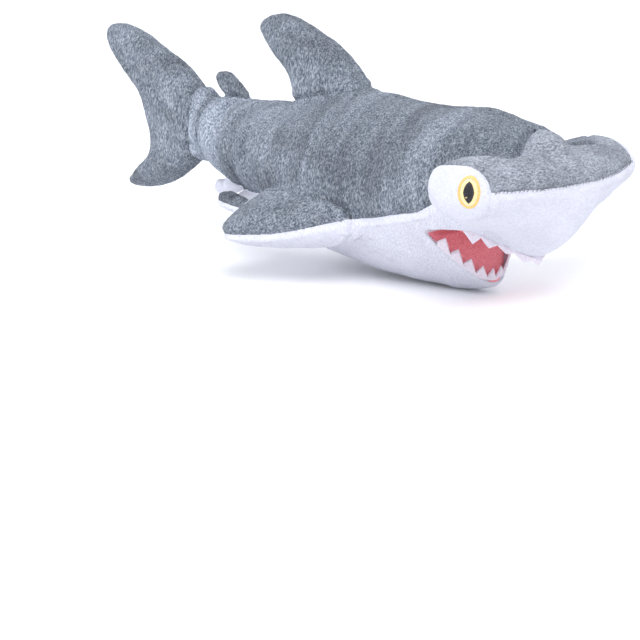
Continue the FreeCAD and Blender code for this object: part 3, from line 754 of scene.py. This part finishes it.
def inside_lips(p, margin):
    """True where the point is inside the body's or the head's outline by margin."""
    place = (p[0] - TAIL_SEAM_X) / BODY_LENGTH
    if place < 1:
        top, bottom, half = body_at(place)
        turn = np.clip((2 * p[2] - top - bottom) / (top - bottom), -1, 1)
        taper = taper_at(place)
        width = half * math.sqrt(1 - turn ** 2) * (1 + taper * min(0.0, turn))
        if abs(p[1]) < width - margin:
            return True
    front, depth, lean, top, bottom = wing_section(p[1])
    middle = front - math.hypot(depth / 2, lean)
    ring = ((p[0] - middle) / (depth / 2)) ** 2 + ((2 * p[2] - top - bottom) / (top - bottom)) ** 2
    return ring < 1 - 2 * margin / min(depth, top - bottom)


# ---------------------------------------------------------------- seams and panels
SEAM_DEPTH, SEAM_WIDTH = 1.05, 1.5
ROOT_DEPTH = 4.0  # where a pectoral fin is sewn to the back
SOFT_SEAMS = ({BELLY, JAW}, {ROOF_LINING, FLOOR_LINING})


def sink_seams(cutter, tops):
    """Pulls the skin in along every seam, deepest round the labels in tops."""
    bm, label = cutter.bm, cutter.label
    bm.normal_update()
    seam, depths = [], []
    for edge in bm.edges:
        sides = {f[label] for f in edge.link_faces}
        if len(sides) < 2 or sides in SOFT_SEAMS:
            continue
        a, b = edge.verts
        seam += [a.co.copy(), (a.co + b.co) / 2, b.co.copy()]
        at_root = sides & tops and sides & {BACK_LEFT, BACK_RIGHT}
        depths += [ROOT_DEPTH if at_root else SEAM_DEPTH] * 3
    tree = KDTree(len(seam))
    for i, co in enumerate(seam):
        tree.insert(co, i)
    tree.balance()
    reach = 3.2 * SEAM_WIDTH * MM
    moves = []
    for vert in bm.verts:
        _, nearest, distance = tree.find(vert.co)
        if distance > reach:
            continue
        d = distance / MM
        fine, coarse = [noise.noise(vert.co / (length * MM)) for length in (2.6, 8)]
        pucker = 1 + 0.45 * fine + 0.3 * coarse
        sink = depths[nearest] * math.exp(-(d / SEAM_WIDTH) ** 2) * pucker
        swell = 0.35 * math.exp(-((d - 2.4 * SEAM_WIDTH) / SEAM_WIDTH) ** 2)
        moves.append((vert, vert.normal * (swell - sink) * MM))
    for vert, move in moves:
        vert.co += move
    bm.normal_update()


def panel_object(cutter, wanted, name):
    """A mesh of the faces with the wanted labels, keeping the whole skin's normals."""
    verts, index, faces, normals = [], {}, [], []
    for face in cutter.bm.faces:
        if face[cutter.label] not in wanted:
            continue
        corners = []
        for vert in face.verts:
            if vert not in index:
                index[vert] = len(verts)
                verts.append(vert.co.copy())
                normals.append(vert.normal.copy())
            corners.append(index[vert])
        faces.append(corners)
    obj = smooth_object(name, verts, faces)
    obj.data.normals_split_custom_set_from_vertices(normals)
    return obj


# ---------------------------------------------------------------- eyes, teeth and stitches
class SkinMap:
    """Finds the skin under a point, so that small pieces lie on it."""

    def __init__(self, bm):
        self.tree = BVHTree.FromBMesh(bm)

    def under(self, point, direction):
        """Point and normal of the first skin met from point along direction, both in metres."""
        hit, normal, _, _ = self.tree.ray_cast(Vector(point), Vector(direction))
        return hit, normal


def eye_frame(sign):
    """Centre of an eye in metres, and the ways outward, forward and up from it."""
    turn = math.radians(EYE_TURN)
    outward = Vector((math.sin(turn), sign * math.cos(turn), 0))
    up = Vector((0, 0, 1))
    forward = Vector((math.cos(turn), -sign * math.sin(turn), 0))
    front, depth, _, top, bottom = wing_section(sign * WING_Y)
    x = front - depth / 2 + EYE_FORWARD[sign]
    y = sign * (WING_Y + EYE_BULGE * 0.75)
    centre = Vector((x, y, (top + bottom) / 2 + EYE_RISE))
    return centre * MM, outward, forward, up


EYE_AROUND, EYE_ROWS = 384, 10
EYE_CENTRE_HOLE = 0.02
EDGE_RAGGED = 0.10
THREAD_RIDGE = 0.14
STITCH_SINK = 0.25  # how far the edge of a stitched band goes into the skin


def on_skin(skin, eye, u, v, rise):
    """The place u forward and v up from the eye's centre, rise millimetres above the skin."""
    centre, outward, forward, up = eye
    start = centre + (forward * u + up * v) * MM + outward * 0.03
    hit, normal = skin.under(start, -outward)
    if hit is None:
        hit, normal = centre + (forward * u + up * v) * MM, outward
    return hit + (normal * 0.35 + outward * 0.65) * rise * MM


def lens_radius(angle, half_width, half_height, point):
    """Outline of an eye shape: an ellipse that comes to a soft point at the top and the bottom."""
    c, s = abs(math.cos(angle)), abs(math.sin(angle))
    round_part = 1 / math.sqrt((c / half_width) ** 2 + (s / half_height) ** 2)
    sharp_part = 1 / (c / half_width + s / half_height)
    return round_part + (sharp_part - round_part) * point


def stitched_height(share, ridge, rise, has_hole):
    """Height of a stitched band above the skin; share runs from its inner to its outer edge."""
    if has_hole:
        crown = math.sqrt(max(0.0, 1 - (2 * share - 1) ** 4))
    else:
        crown = math.sqrt(max(0.0, 1 - share ** 5))
    return rise * crown * (1 - THREAD_RIDGE + THREAD_RIDGE * ridge) - STITCH_SINK


def ring_faces(rows, around):
    """Quads between rows of points that close on themselves."""
    faces = []
    for j in range(rows):
        for i in range(around):
            k = (i + 1) % around
            faces.append((j * around + i, j * around + k, (j + 1) * around + k, (j + 1) * around + i))
    return faces


def embroidered(skin, eye, name, radii, rise, point, pitch, radial_stitches):
    """A satin-stitched band between two outlines, with a ridge for each thread."""
    inner, outer = radii
    threads = round(math.pi * (outer[0] + outer[1]) / pitch)
    verts = []
    for j in range(EYE_ROWS + 1):
        share = j / EYE_ROWS
        for i in range(EYE_AROUND):
            angle = 2 * math.pi * i / EYE_AROUND
            r_in = lens_radius(angle, *inner, point) if inner else EYE_CENTRE_HOLE
            r = r_in + (lens_radius(angle, *outer, point) - r_in) * share
            if share > 0.9:
                r += EDGE_RAGGED * noise.noise(Vector((i * 0.55, j * 0.2, len(name))))
            u, v = r * math.cos(angle), r * math.sin(angle)
            ridge = math.cos(angle * threads) if radial_stitches else math.cos(2 * math.pi * v / pitch)
            height = stitched_height(share, ridge, rise, bool(inner))
            verts.append(on_skin(skin, eye, u, v, height))
    obj = smooth_object(name, verts, ring_faces(EYE_ROWS, EYE_AROUND))
    if obj.data.polygons[0].normal.dot(eye[1]) < 0:
        obj.data.flip_normals()
    return obj


def roof_height(x, y):
    """Height of the roof of the mouth."""
    return MOUTH[2] - (x - MOUTH[0]) * math.tan(math.radians(ROOF_ANGLE - lip_arch(y)))


def floor_height(x, y):
    """Height of the floor of the mouth, which is flat across."""
    return MOUTH[2] - (x - MOUTH[0]) * math.tan(math.radians(FLOOR_ANGLE))


LIP_STEP = 0.25
LIP_HALF_WIDTH = 32
LIP_SMOOTHING = 160


def lip_path(height, lift, first_x, margin):
    """The U-shaped line just inside the lips, from the right corner round the front to the left."""
    side = []
    x = first_x
    while True:
        y = 0.0
        while inside_lips((x, y, height(x, y) + lift), margin) and y < LIP_HALF_WIDTH:
            y += LIP_STEP
        if y == 0.0:
            break
        side.append((x, y))
        x += LIP_STEP
    line = np.array([(x, -y) for x, y in side] + [(x, y) for x, y in side[::-1]])
    for _ in range(LIP_SMOOTHING):
        line[1:-1] += 0.5 * ((line[:-2] + line[2:]) / 2 - line[1:-1])
    arc = np.concatenate([[0], np.cumsum(np.linalg.norm(np.diff(line, axis=0), axis=1))])
    return line, arc


TOOTH_COLUMNS, TOOTH_ROWS = 14, 8  # mesh steps across one tooth, and up it
TOOTH_ROOT = 1.6  # how far a strip goes into the lining
TOOTH_THICKNESS = 1.2


def tooth_height(column, x, tall, hanging):
    """Height of the zigzag at one column of the strip; the front upper teeth are shorter."""
    wave = 1 - abs(2 * (column % TOOTH_COLUMNS) / TOOTH_COLUMNS - 1)
    far = smoothstep((x - 120) / 8) if hanging else 0.0
    way = -1.0 if hanging else 1.0
    uneven = 1 + 0.12 * noise.noise(Vector((column // TOOTH_COLUMNS * 1.7, 3, way)))
    return tall * (1 - 0.5 * far) * (0.06 + 0.94 * wave ** 0.9) * uneven


def strip_faces(columns, rows):
    """Faces of a thin strip whose two sheets of points follow each other."""
    wide = rows + 1
    back = (columns + 1) * wide
    faces = []
    for c in range(columns):
        for r in range(rows):
            a, b = c * wide + r, (c + 1) * wide + r
            faces.append((a, b, b + 1, a + 1))
            faces.append((back + a, back + a + 1, back + b + 1, back + b))
        a, b = c * wide + rows, (c + 1) * wide + rows
        faces.append((a, b, back + b, back + a))
        faces.append((c * wide, back + c * wide, back + (c + 1) * wide, (c + 1) * wide))
    return faces


def tooth_strip(name, height, up, path_shape, tall, pitch):
    """A felt strip cut in a zigzag, standing along the inside of the lips."""
    line, arc = lip_path(height, *path_shape)
    columns = int(arc[-1] / pitch) * TOOTH_COLUMNS
    stations = np.linspace(0, arc[-1], columns + 1)
    path = np.stack([np.interp(stations, arc, line[:, k]) for k in (0, 1)], 1)
    tangent = np.gradient(path, axis=0)
    tangent /= np.linalg.norm(tangent, axis=1)[:, None]
    up = Vector(up).normalized()
    verts = []
    for side in (1, -1):
        for c in range(columns + 1):
            x, y = path[c]
            tooth = tooth_height(c, x, tall, up.z < 0)
            outward = Vector((tangent[c][1], -tangent[c][0], 0))
            base = Vector((x, y, height(x, y)))
            for r in range(TOOTH_ROWS + 1):
                share = r / TOOTH_ROWS
                wander = noise.noise(Vector((x, y, r * 0.6)) / 3)
                bow = outward * 0.5 * (math.sin(math.pi * share) + wander)
                rim = 1 - 0.75 * max(0.0, share - 0.8) / 0.2
                climb = up * (-TOOTH_ROOT + (tooth + TOOTH_ROOT) * share)
                verts.append((base + climb + bow + outward * side * TOOTH_THICKNESS / 2 * rim) * MM)
    obj = smooth_object(name, verts, strip_faces(columns, TOOTH_ROWS))
    outward_normals(obj)
    return obj


TOPSTITCH_FROM_X = 148
THREAD_RINGS, THREAD_AROUND = 7, 6


def seam_points(cutter, one, other, keep):
    """Midpoints and normals along the seam between two panels, sorted along Y."""
    found = []
    for edge in cutter.bm.edges:
        if {f[cutter.label] for f in edge.link_faces} == {one, other}:
            a, b = edge.verts
            middle = (a.co + b.co) / 2
            if keep(middle / MM):
                found.append((middle, (a.normal + b.normal).normalized()))
    found.sort(key=lambda item: item[0].y)
    return found


def thread_rings(place, normal, run, length, radius):
    """Points round one short thread that dips into the cloth at both ends."""
    over = run.cross(normal).normalized()
    verts = []
    for r in range(THREAD_RINGS):
        t = 2 * r / (THREAD_RINGS - 1) - 1
        thick = radius * math.sqrt(max(0.05, 1 - t ** 4))
        middle = place + run * t * length / 2 * MM + normal * (0.75 - 0.5 * t * t) * MM
        for k in range(THREAD_AROUND):
            angle = 2 * math.pi * k / THREAD_AROUND
            verts.append(middle + (over * math.cos(angle) + normal * math.sin(angle)) * thick * MM)
    return verts


def thread_faces(start):
    """Faces of one thread, closed at both ends."""
    faces = [tuple(start + v for v in face) for face in ring_faces(THREAD_RINGS - 1, THREAD_AROUND)]
    last = start + (THREAD_RINGS - 1) * THREAD_AROUND
    faces.append(tuple(range(start, start + THREAD_AROUND))[::-1])
    faces.append(tuple(range(last, last + THREAD_AROUND)))
    return faces


def stitches(name, seam, pitch, length, radius, slant):
    """Short slanted threads over a seam."""
    verts, faces = [], []
    points = np.array([p for p, _ in seam]) / MM
    arc = np.concatenate([[0], np.cumsum(np.linalg.norm(np.diff(points, axis=0), axis=1))])
    for number, distance in enumerate(np.arange(pitch, arc[-1], pitch)):
        i = int(np.searchsorted(arc, distance))
        place, normal = seam[i]
        ahead = (seam[min(i + 3, len(seam) - 1)][0] - seam[max(i - 3, 0)][0]).normalized()
        aside = normal.cross(ahead).normalized()
        turn = math.radians(slant + 9 * noise.noise(Vector((number * 0.9, 1, 2))))
        run = ahead * math.cos(turn) + aside * math.sin(turn)
        faces += thread_faces(len(verts))
        verts += thread_rings(place, normal, run, length, radius)
    obj = smooth_object(name, verts, faces)
    outward_normals(obj)
    return obj


# ---------------------------------------------------------------- materials
class Shader:
    """Short names for building one node material; a lone number may stand for a socket."""

    def __init__(self, name):
        self.mat = bpy.data.materials.new(name)
        self.mat.use_nodes = True
        self.tree = self.mat.node_tree
        self.bsdf = self.tree.nodes["Principled BSDF"]
        coords = self.tree.nodes.new("ShaderNodeTexCoord")
        self.place = coords.outputs["Object"]

    def link(self, source, target):
        self.tree.links.new(source, target)

    def stretched(self, scale, turn=(0, 0, 0), vector=None):
        node = self.tree.nodes.new("ShaderNodeMapping")
        node.inputs["Scale"].default_value = scale
        node.inputs["Rotation"].default_value = turn
        self.link(vector or self.place, node.inputs["Vector"])
        return node.outputs["Vector"]

    def noise(self, scale, detail=2.0, rough=0.5, vector=None, distortion=0.0):
        node = self.tree.nodes.new("ShaderNodeTexNoise")
        node.inputs["Scale"].default_value = scale
        node.inputs["Detail"].default_value = detail
        node.inputs["Roughness"].default_value = rough
        node.inputs["Distortion"].default_value = distortion
        self.link(vector or self.place, node.inputs["Vector"])
        return node.outputs["Fac"]

    def ramp(self, value, stops):
        node = self.tree.nodes.new("ShaderNodeValToRGB")
        ramp = node.color_ramp
        ramp.elements[0].position, ramp.elements[0].color = stops[0][0], (*stops[0][1], 1)
        ramp.elements[1].position, ramp.elements[1].color = stops[-1][0], (*stops[-1][1], 1)
        for position, colour in stops[1:-1]:
            ramp.elements.new(position).color = (*colour, 1)
        self.link(value, node.inputs["Fac"])
        return node.outputs["Color"]

    def math(self, kind, a, b, clamp=False):
        node = self.tree.nodes.new("ShaderNodeMath")
        node.operation = kind
        node.use_clamp = clamp
        for socket, value in zip(node.inputs, (a, b)):
            if isinstance(value, (int, float)):
                socket.default_value = value
            else:
                self.link(value, socket)
        return node.outputs[0]

    def mix(self, kind, amount, a, b):
        node = self.tree.nodes.new("ShaderNodeMix")
        node.data_type = "RGBA"
        node.blend_type = kind
        for socket, value in ((node.inputs[0], amount), (node.inputs[6], a), (node.inputs[7], b)):
            if isinstance(value, (int, float)):
                socket.default_value = value
            elif isinstance(value, tuple):
                socket.default_value = (*value, 1)
            else:
                self.link(value, socket)
        return node.outputs[2]

    def bump(self, height, distance, strength=1.0, below=None):
        node = self.tree.nodes.new("ShaderNodeBump")
        node.inputs["Distance"].default_value = distance
        node.inputs["Strength"].default_value = strength
        self.link(height, node.inputs["Height"])
        if below is not None:
            self.link(below, node.inputs["Normal"])
        return node.outputs["Normal"]

    def finish(self, colour, normal, roughness, sheen=0.0, sheen_tint=(1, 1, 1), sheen_roughness=0.4):
        self.link(colour, self.bsdf.inputs["Base Color"])
        self.link(normal, self.bsdf.inputs["Normal"])
        if isinstance(roughness, float):
            self.bsdf.inputs["Roughness"].default_value = roughness
        else:
            self.link(roughness, self.bsdf.inputs["Roughness"])
        self.bsdf.inputs["Specular IOR Level"].default_value = 0.25
        self.bsdf.inputs["Sheen Weight"].default_value = sheen
        self.bsdf.inputs["Sheen Roughness"].default_value = sheen_roughness
        self.bsdf.inputs["Sheen Tint"].default_value = (*sheen_tint, 1)
        return self.mat


def blended(shader, a, b, share):
    """The two values added, with share of the first."""
    return shader.math("ADD", shader.math("MULTIPLY", a, share), shader.math("MULTIPLY", b, 1 - share))


def painted_rear_sheen(shader, colour, nap, amount):
    """Painted sheen: lightens the cloth towards the tail, along an uneven edge, where the pile catches the
    light.
    """
    split = shader.tree.nodes.new("ShaderNodeSeparateXYZ")
    shader.link(shader.place, split.inputs[0])
    along = shader.math("MULTIPLY", split.outputs["X"], -5.0)
    along = shader.math("ADD", along, shader.math("MULTIPLY", nap, 1.2))
    glow = shader.ramp(along, [(0.40, (1.0, 1.0, 1.0)), (1.15, (1 + amount,) * 3)])
    return shader.mix("MULTIPLY", 1.0, colour, glow)


def plush(name, colours, across, contrast, patch_amount, rear_sheen=0.0, bands=(60, 60, 60)):
    """Short pile: grain drawn out along the nap, patches of painted sheen and shade where the pile lies
    different ways, and a soft sheen.

    across is the grain's scale along X, Y and Z; the pile is long where the scale is small.
    bands is the scale of the bands of painted shade in the same way; on the body they stand for the shade in
    its folds.
    """
    shader = Shader(name)
    grain_place = shader.stretched(across)
    grain = shader.noise(1.0, 3.0, 0.62, grain_place, 0.6)
    clumps = shader.noise(0.42, 2.0, 0.55, grain_place, 1.1)
    patches = shader.noise(22.0, 1.0, 0.5, None, 0.8)
    # painted shade: bands of darker cloth; on the body they run upright, for the shade in the folds
    shade_bands = shader.noise(1.0, 1.0, 0.5, shader.stretched(bands), 0.5)
    mixed = blended(shader, grain, clumps, 0.8)
    low_end, high_end = 0.5 - 0.16 / contrast, 0.5 + 0.17 / contrast
    colour = shader.ramp(mixed, [
        (low_end, colours["dark"]), (0.5, colours["middle"]), (high_end, colours["light"])])
    nap = blended(shader, patches, shade_bands, 0.5)
    # painted sheen and shade: the cloth lighter or darker in patches, as the pile catches the light
    shade = shader.ramp(nap, [(0.36, (1 - patch_amount,) * 3), (0.66, (1 + patch_amount,) * 3)])
    colour = shader.mix("MULTIPLY", 1.0, colour, shade)
    # painted sheen on the rear of the body
    if rear_sheen:
        colour = painted_rear_sheen(shader, colour, nap, rear_sheen)
    soft = shader.bump(patches, 0.0012, 0.5)
    normal = shader.bump(mixed, 0.0020, 1.0, soft)
    rough = shader.math("ADD", shader.math("MULTIPLY", grain, 0.25), 0.7)
    return shader.finish(colour, normal, rough, 0.25, colours["light"], 0.45)


def felt(name, dark, light):
    """Pressed fibres: fine mottle and crossing hairs."""
    shader = Shader(name)
    mottle = shader.noise(900.0, 4.0, 0.6)
    hairs = shader.noise(1.0, 2.0, 0.6, shader.stretched((2600, 500, 500), (0.3, 0.5, 0.9)), 1.5)
    mixed = blended(shader, mottle, hairs, 0.5)
    colour = shader.ramp(mixed, [(0.34, dark), (0.66, light)])
    return shader.finish(colour, shader.bump(mixed, 0.0005, 0.9), 0.95, 0.3, light, 0.5)


def thread(name, dark, light, gloss):
    """Embroidery thread: twisted strands with a soft shine."""
    shader = Shader(name)
    twist = shader.noise(1.0, 2.0, 0.5, shader.stretched((3200, 3200, 1500), (0.4, 0.2, 0.1)), 0.8)
    colour = shader.ramp(twist, [(0.35, dark), (0.65, light)])
    rough = shader.math("ADD", shader.math("MULTIPLY", twist, 0.2), gloss)
    mat = shader.finish(colour, shader.bump(twist, 0.0002, 0.7), rough, 0.15, light, 0.4)
    shader.bsdf.inputs["Specular IOR Level"].default_value = 0.5
    return mat


GREY = dict(dark=(0.078, 0.100, 0.131), middle=(0.185, 0.215, 0.263), light=(0.380, 0.408, 0.468))
WHITE = dict(dark=(0.720, 0.738, 0.870), middle=(0.825, 0.840, 0.955), light=(0.910, 0.918, 0.985))
# The same grey plush made lighter for the top of the hammer: painted light on its upward face.
LIT_GREY = dict(dark=(0.140, 0.164, 0.204), middle=(0.285, 0.310, 0.366), light=(0.470, 0.492, 0.555))

# Scale of the grain along X, Y and Z for each way that the pile lies.
ON_BODY = (1250, 1250, 520)
ON_WING = (1300, 520, 1300)
ON_UPRIGHT_FIN = (1350, 1350, 520)
ON_FLAT_FIN = (1350, 520, 1100)
# Scale of the painted fold shade on the body: upright bands, darker where the folds fall in shade.
BODY_FOLD_SHADE = (85, 14, 20)


def make_materials():
    """One material for each cloth, felt and thread, and for each way that the pile lies."""
    return {
        "grey_body": plush("grey_plush_body", GREY, ON_BODY, contrast=1.5, patch_amount=0.34,
                           rear_sheen=0.42, bands=BODY_FOLD_SHADE),
        "grey_wing": plush("grey_plush_wing", LIT_GREY, ON_WING, contrast=1.45, patch_amount=0.24),
        "grey_fin": plush("grey_plush_fin", GREY, ON_UPRIGHT_FIN, contrast=1.6, patch_amount=0.32),
        "grey_pectoral": plush("grey_plush_pectoral", GREY, ON_FLAT_FIN, contrast=1.6, patch_amount=0.32),
        "white_body": plush("white_plush_body", WHITE, ON_BODY, contrast=0.8, patch_amount=0.035),
        "white_wing": plush("white_plush_wing", WHITE, ON_WING, contrast=0.8, patch_amount=0.035),
        "red_felt": felt("red_felt", (0.80, 0.21, 0.26), (1.0, 0.44, 0.48)),
        "white_felt": felt("white_felt", (0.66, 0.60, 0.70), (0.86, 0.82, 0.89)),
        "gold_thread": thread("gold_thread", (0.76, 0.43, 0.11), (0.95, 0.68, 0.29), 0.35),
        "cream_thread": thread("cream_thread", (0.88, 0.64, 0.25), (1.0, 0.87, 0.56), 0.4),
        "black_thread": thread("black_thread", (0.004, 0.004, 0.006), (0.035, 0.035, 0.045), 0.25),
        "seam_thread": thread("seam_thread", (0.09, 0.10, 0.14), (0.22, 0.24, 0.30), 0.5),
    }


# ---------------------------------------------------------------- putting it together
def dress(obj, material, body, nodes):
    """Gives a piece its material, body and the solids that it stands for."""
    obj.data.materials.clear()
    obj.data.materials.append(material)
    if body:
        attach(obj, body)
    if nodes:
        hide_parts(*nodes)
    return obj


def dress_torso(cutter, mats):
    """Panels of the body and head."""
    table = [
        ("back_left_plush", {BACK_LEFT}, "grey_body", "grey_plush", ["back_panel_left", "body_stuffing"]),
        ("back_right_plush", {BACK_RIGHT}, "grey_body", "grey_plush", ["back_panel_right"]),
        ("belly_plush", {BELLY}, "white_body", "white_plush", ["belly_panel"]),
        ("hammer_top_plush", {HAMMER_TOP}, "grey_wing", "grey_plush", ["hammer_top_panel", "head_stuffing"]),
        ("hammer_front_plush", {HAMMER_FRONT}, "white_wing", "white_plush", ["hammer_front_panel"]),
        ("eye_patch_left_plush", {PATCH_LEFT}, "white_wing", "white_plush",
         ["eye_patch_left", "eye_padding_left"]),
        ("eye_patch_right_plush", {PATCH_RIGHT}, "white_wing", "white_plush",
         ["eye_patch_right", "eye_padding_right"]),
    ]
    for name, labels, material, slot, nodes in table:
        obj = panel_object(cutter, labels, name)
        dress(obj, mats[material], "torso", nodes)
    roof = panel_object(cutter, {ROOF_LINING}, "mouth_roof_felt")
    dress(roof, mats["red_felt"], "torso", ["mouth_lining_upper"])


def dress_jaw(cutter, mats):
    """The jaw's cloth, and the floor of the mouth."""
    jaw = panel_object(cutter, {JAW}, "jaw_plush")
    dress(jaw, mats["white_body"], None, ["jaw_panel", "jaw_stuffing"])
    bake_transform(jaw)
    floor = panel_object(cutter, {FLOOR_LINING}, "mouth_floor_felt")
    dress(floor, mats["red_felt"], "jaw", ["mouth_lining_lower"])


def fin_sides(name, fin, plus, minus, paired):
    """The two panels of a fin by the names of their sides."""
    if paired:
        first, second = ("bottom", "top") if name.endswith("left") else ("top", "bottom")
    else:
        first, second = ("right", "left") if fin.across[1] < 0 else ("left", "right")
    return (first, plus), (second, minus)


def dress_fins(cutter, labels, fins, mats):
    """Both panels of every fin."""
    for name, fin in fins.items():
        minus, plus = labels[name]
        paired = name.startswith(("pectoral", "pelvic"))
        for side, label in fin_sides(name, fin, plus, minus, paired):
            obj = panel_object(cutter, {label}, f"{name}_{side}_plush")
            nodes = [f"{name}_panel_{side}"] + ([f"{name}_stuffing"] if label == plus else [])
            if side == "bottom" or name == "anal":
                dress(obj, mats["white_body"], None, nodes)
            else:
                dress(obj, mats["grey_pectoral" if paired else "grey_fin"], None, nodes)
            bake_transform(obj)


EYE_RING_WIDTH, EYE_RING_HEIGHT = 1.5, 1.6
IRIS_OVERLAP = 0.3
PUPIL_HALF = (2.9, 5.6)
GLINT_HALF = (0.6, 0.4)
GLINT_FORWARD, GLINT_UP = -1.0, -2.2


def dress_eyes(skin, mats):
    """Gold ring, cream iris, black pupil and a small cream glint, all satin stitch."""
    outer = (EYE_HALF_WIDTH, EYE_HALF_HEIGHT)
    ring_inner = (EYE_HALF_WIDTH - EYE_RING_WIDTH, EYE_HALF_HEIGHT - EYE_RING_HEIGHT)
    iris_outer = tuple(half + IRIS_OVERLAP for half in ring_inner)
    for side, sign in (("left", 1), ("right", -1)):
        eye = eye_frame(sign)
        centre, _, forward, up = eye
        spot = (centre + (forward * GLINT_FORWARD + up * GLINT_UP) * MM, *eye[1:])
        ring = embroidered(skin, eye, f"eye_{side}_gold_ring", (ring_inner, outer),
                           rise=0.75, point=0.0, pitch=0.42, radial_stitches=True)
        dress(ring, mats["gold_thread"], "torso", [f"eye_ring_{side}"])
        iris = embroidered(skin, eye, f"eye_{side}_cream_iris", (None, iris_outer),
                           rise=0.55, point=0.0, pitch=0.5, radial_stitches=True)
        dress(iris, mats["cream_thread"], "torso", [f"eye_white_{side}"])
        glint = embroidered(skin, spot, f"eye_{side}_glint", (None, GLINT_HALF),
                            rise=1.45, point=0.0, pitch=0.3, radial_stitches=True)
        dress(glint, mats["cream_thread"], "torso", [])
        pupil = embroidered(skin, eye, f"eye_{side}_pupil", (None, PUPIL_HALF),
                            rise=1.1, point=0.3, pitch=0.5, radial_stitches=False)
        dress(pupil, mats["black_thread"], "torso", [f"eye_pupil_{side}"])


def dress_mouth(mats):
    """Two zigzag strips of white felt; path_shape is lift, first X and margin."""
    lower = tooth_strip("lower_teeth_felt", floor_height, (0.25, 0, 1),
                        path_shape=(-0.8, MOUTH[0] + 4.5, 1.0), tall=5.6, pitch=6.9)
    dress(lower, mats["white_felt"], "jaw", ["lower_teeth"])
    upper = tooth_strip("upper_teeth_felt", roof_height, (0.05, 0, -1),
                        path_shape=(0.8, MOUTH[0] + 21.0, 1.4), tall=5.4, pitch=8.6)
    dress(upper, mats["white_felt"], "torso", ["upper_teeth"])


def dress_threads(cutter, mats):
    """The row of stitches that shows along the hammer's front seam."""
    front = seam_points(cutter, HAMMER_TOP, HAMMER_FRONT, lambda p: p.x > TOPSTITCH_FROM_X)
    row = stitches("hammer_topstitch", front, pitch=2.7, length=1.6, radius=0.18, slant=58)
    dress(row, mats["seam_thread"], "torso", [])


def make_floor():
    """A plain pale sheet of paper."""
    mesh = bpy.data.meshes.new("floor")
    half = 3.0
    corners = [(-half, -half, 0), (half, -half, 0), (half, half, 0), (-half, half, 0)]
    mesh.from_pydata(corners, [], [(0, 1, 2, 3)])
    floor = bpy.data.objects.new("floor", mesh)
    bpy.context.scene.collection.objects.link(floor)
    shader = Shader("floor_paper")
    tooth = shader.noise(420.0, 2.0)
    colour = shader.ramp(tooth, [(0.3, (0.93, 0.93, 0.935)), (0.7, (0.96, 0.96, 0.965))])
    floor.data.materials.append(shader.finish(colour, shader.bump(tooth, 0.0001, 0.3), 0.9))


def area_light(name, place, target, size, power, colour=(1, 1, 1)):
    lamp = bpy.data.lights.new(name, "AREA")
    lamp.shape = "DISK"
    lamp.size = size
    lamp.energy = power
    lamp.color = colour
    obj = bpy.data.objects.new(name, lamp)
    obj.location = place
    obj.rotation_euler = (Vector(target) - Vector(place)).to_track_quat("-Z", "Y").to_euler()
    bpy.context.scene.collection.objects.link(obj)


def make_lights():
    """Soft studio light from three sides and a pale surround."""
    bpy.context.scene.view_settings.view_transform = "Standard"
    middle = (0.02, 0, 0.05)
    area_light("key", (0.75, -0.75, 1.15), middle, 0.9, 14.0, (1.0, 0.985, 0.97))
    area_light("fill", (-0.9, -0.9, 0.6), middle, 1.2, 7.5, (0.95, 0.97, 1.0))
    area_light("back", (-0.2, 1.1, 1.0), middle, 1.0, 8.6, (0.97, 0.98, 1.0))
    world = bpy.data.worlds.new("studio")
    bpy.context.scene.world = world
    world.use_nodes = True
    background = world.node_tree.nodes["Background"]
    background.inputs["Color"].default_value = (0.93, 0.95, 1.0, 1)
    background.inputs["Strength"].default_value = 0.84


CAMERA_AZIMUTH, CAMERA_ELEVATION = 40.07, 10.68
CAMERA_DISTANCE = 1141.33
CAMERA_LENS = 119.1
AIM_YAW, AIM_PITCH, AIM_ROLL = 0.658, 4.093, 0.18
AIM_POINT = (14.0, 0.0, 53.0)


def make_camera():
    """A long lens from the shark's right, ahead and a little above."""
    azimuth, elevation = math.radians(CAMERA_AZIMUTH), math.radians(CAMERA_ELEVATION)
    level = math.cos(elevation)
    back = Vector((math.sin(azimuth) * level, -math.cos(azimuth) * level, math.sin(elevation)))
    camera = bpy.data.objects.new("camera", bpy.data.cameras.new("camera"))
    camera.data.lens = CAMERA_LENS
    camera.data.sensor_width = 36.0
    camera.data.clip_end = 20.0
    look = (-back).to_track_quat("-Z", "Y").to_matrix()
    yaw = Matrix.Rotation(math.radians(AIM_YAW), 3, "Y")
    pitch = Matrix.Rotation(math.radians(-AIM_PITCH), 3, "X")
    roll = Matrix.Rotation(math.radians(AIM_ROLL), 3, "Z")
    place = (Vector(AIM_POINT) + back * CAMERA_DISTANCE) * MM
    camera.matrix_world = Matrix.Translation(place) @ (look @ yaw @ pitch @ roll).to_4x4()
    bpy.context.scene.collection.objects.link(camera)
    bpy.context.scene.camera = camera


def build():
    """Makes the whole scene."""
    make_camera()
    fins = make_fins()
    skin = settled(stuffed_form(fins))
    cutter, labels = cut_panels(skin, fins)
    pectorals = {label for side in ("left", "right") for label in labels[f"pectoral_{side}"]}
    sink_seams(cutter, pectorals)
    bpy.data.objects.remove(skin)
    mats = make_materials()
    dress_torso(cutter, mats)
    dress_jaw(cutter, mats)
    dress_fins(cutter, labels, fins, mats)
    dress_eyes(SkinMap(cutter.bm), mats)
    dress_mouth(mats)
    dress_threads(cutter, mats)
    cutter.bm.free()
    make_floor()
    make_lights()


build()
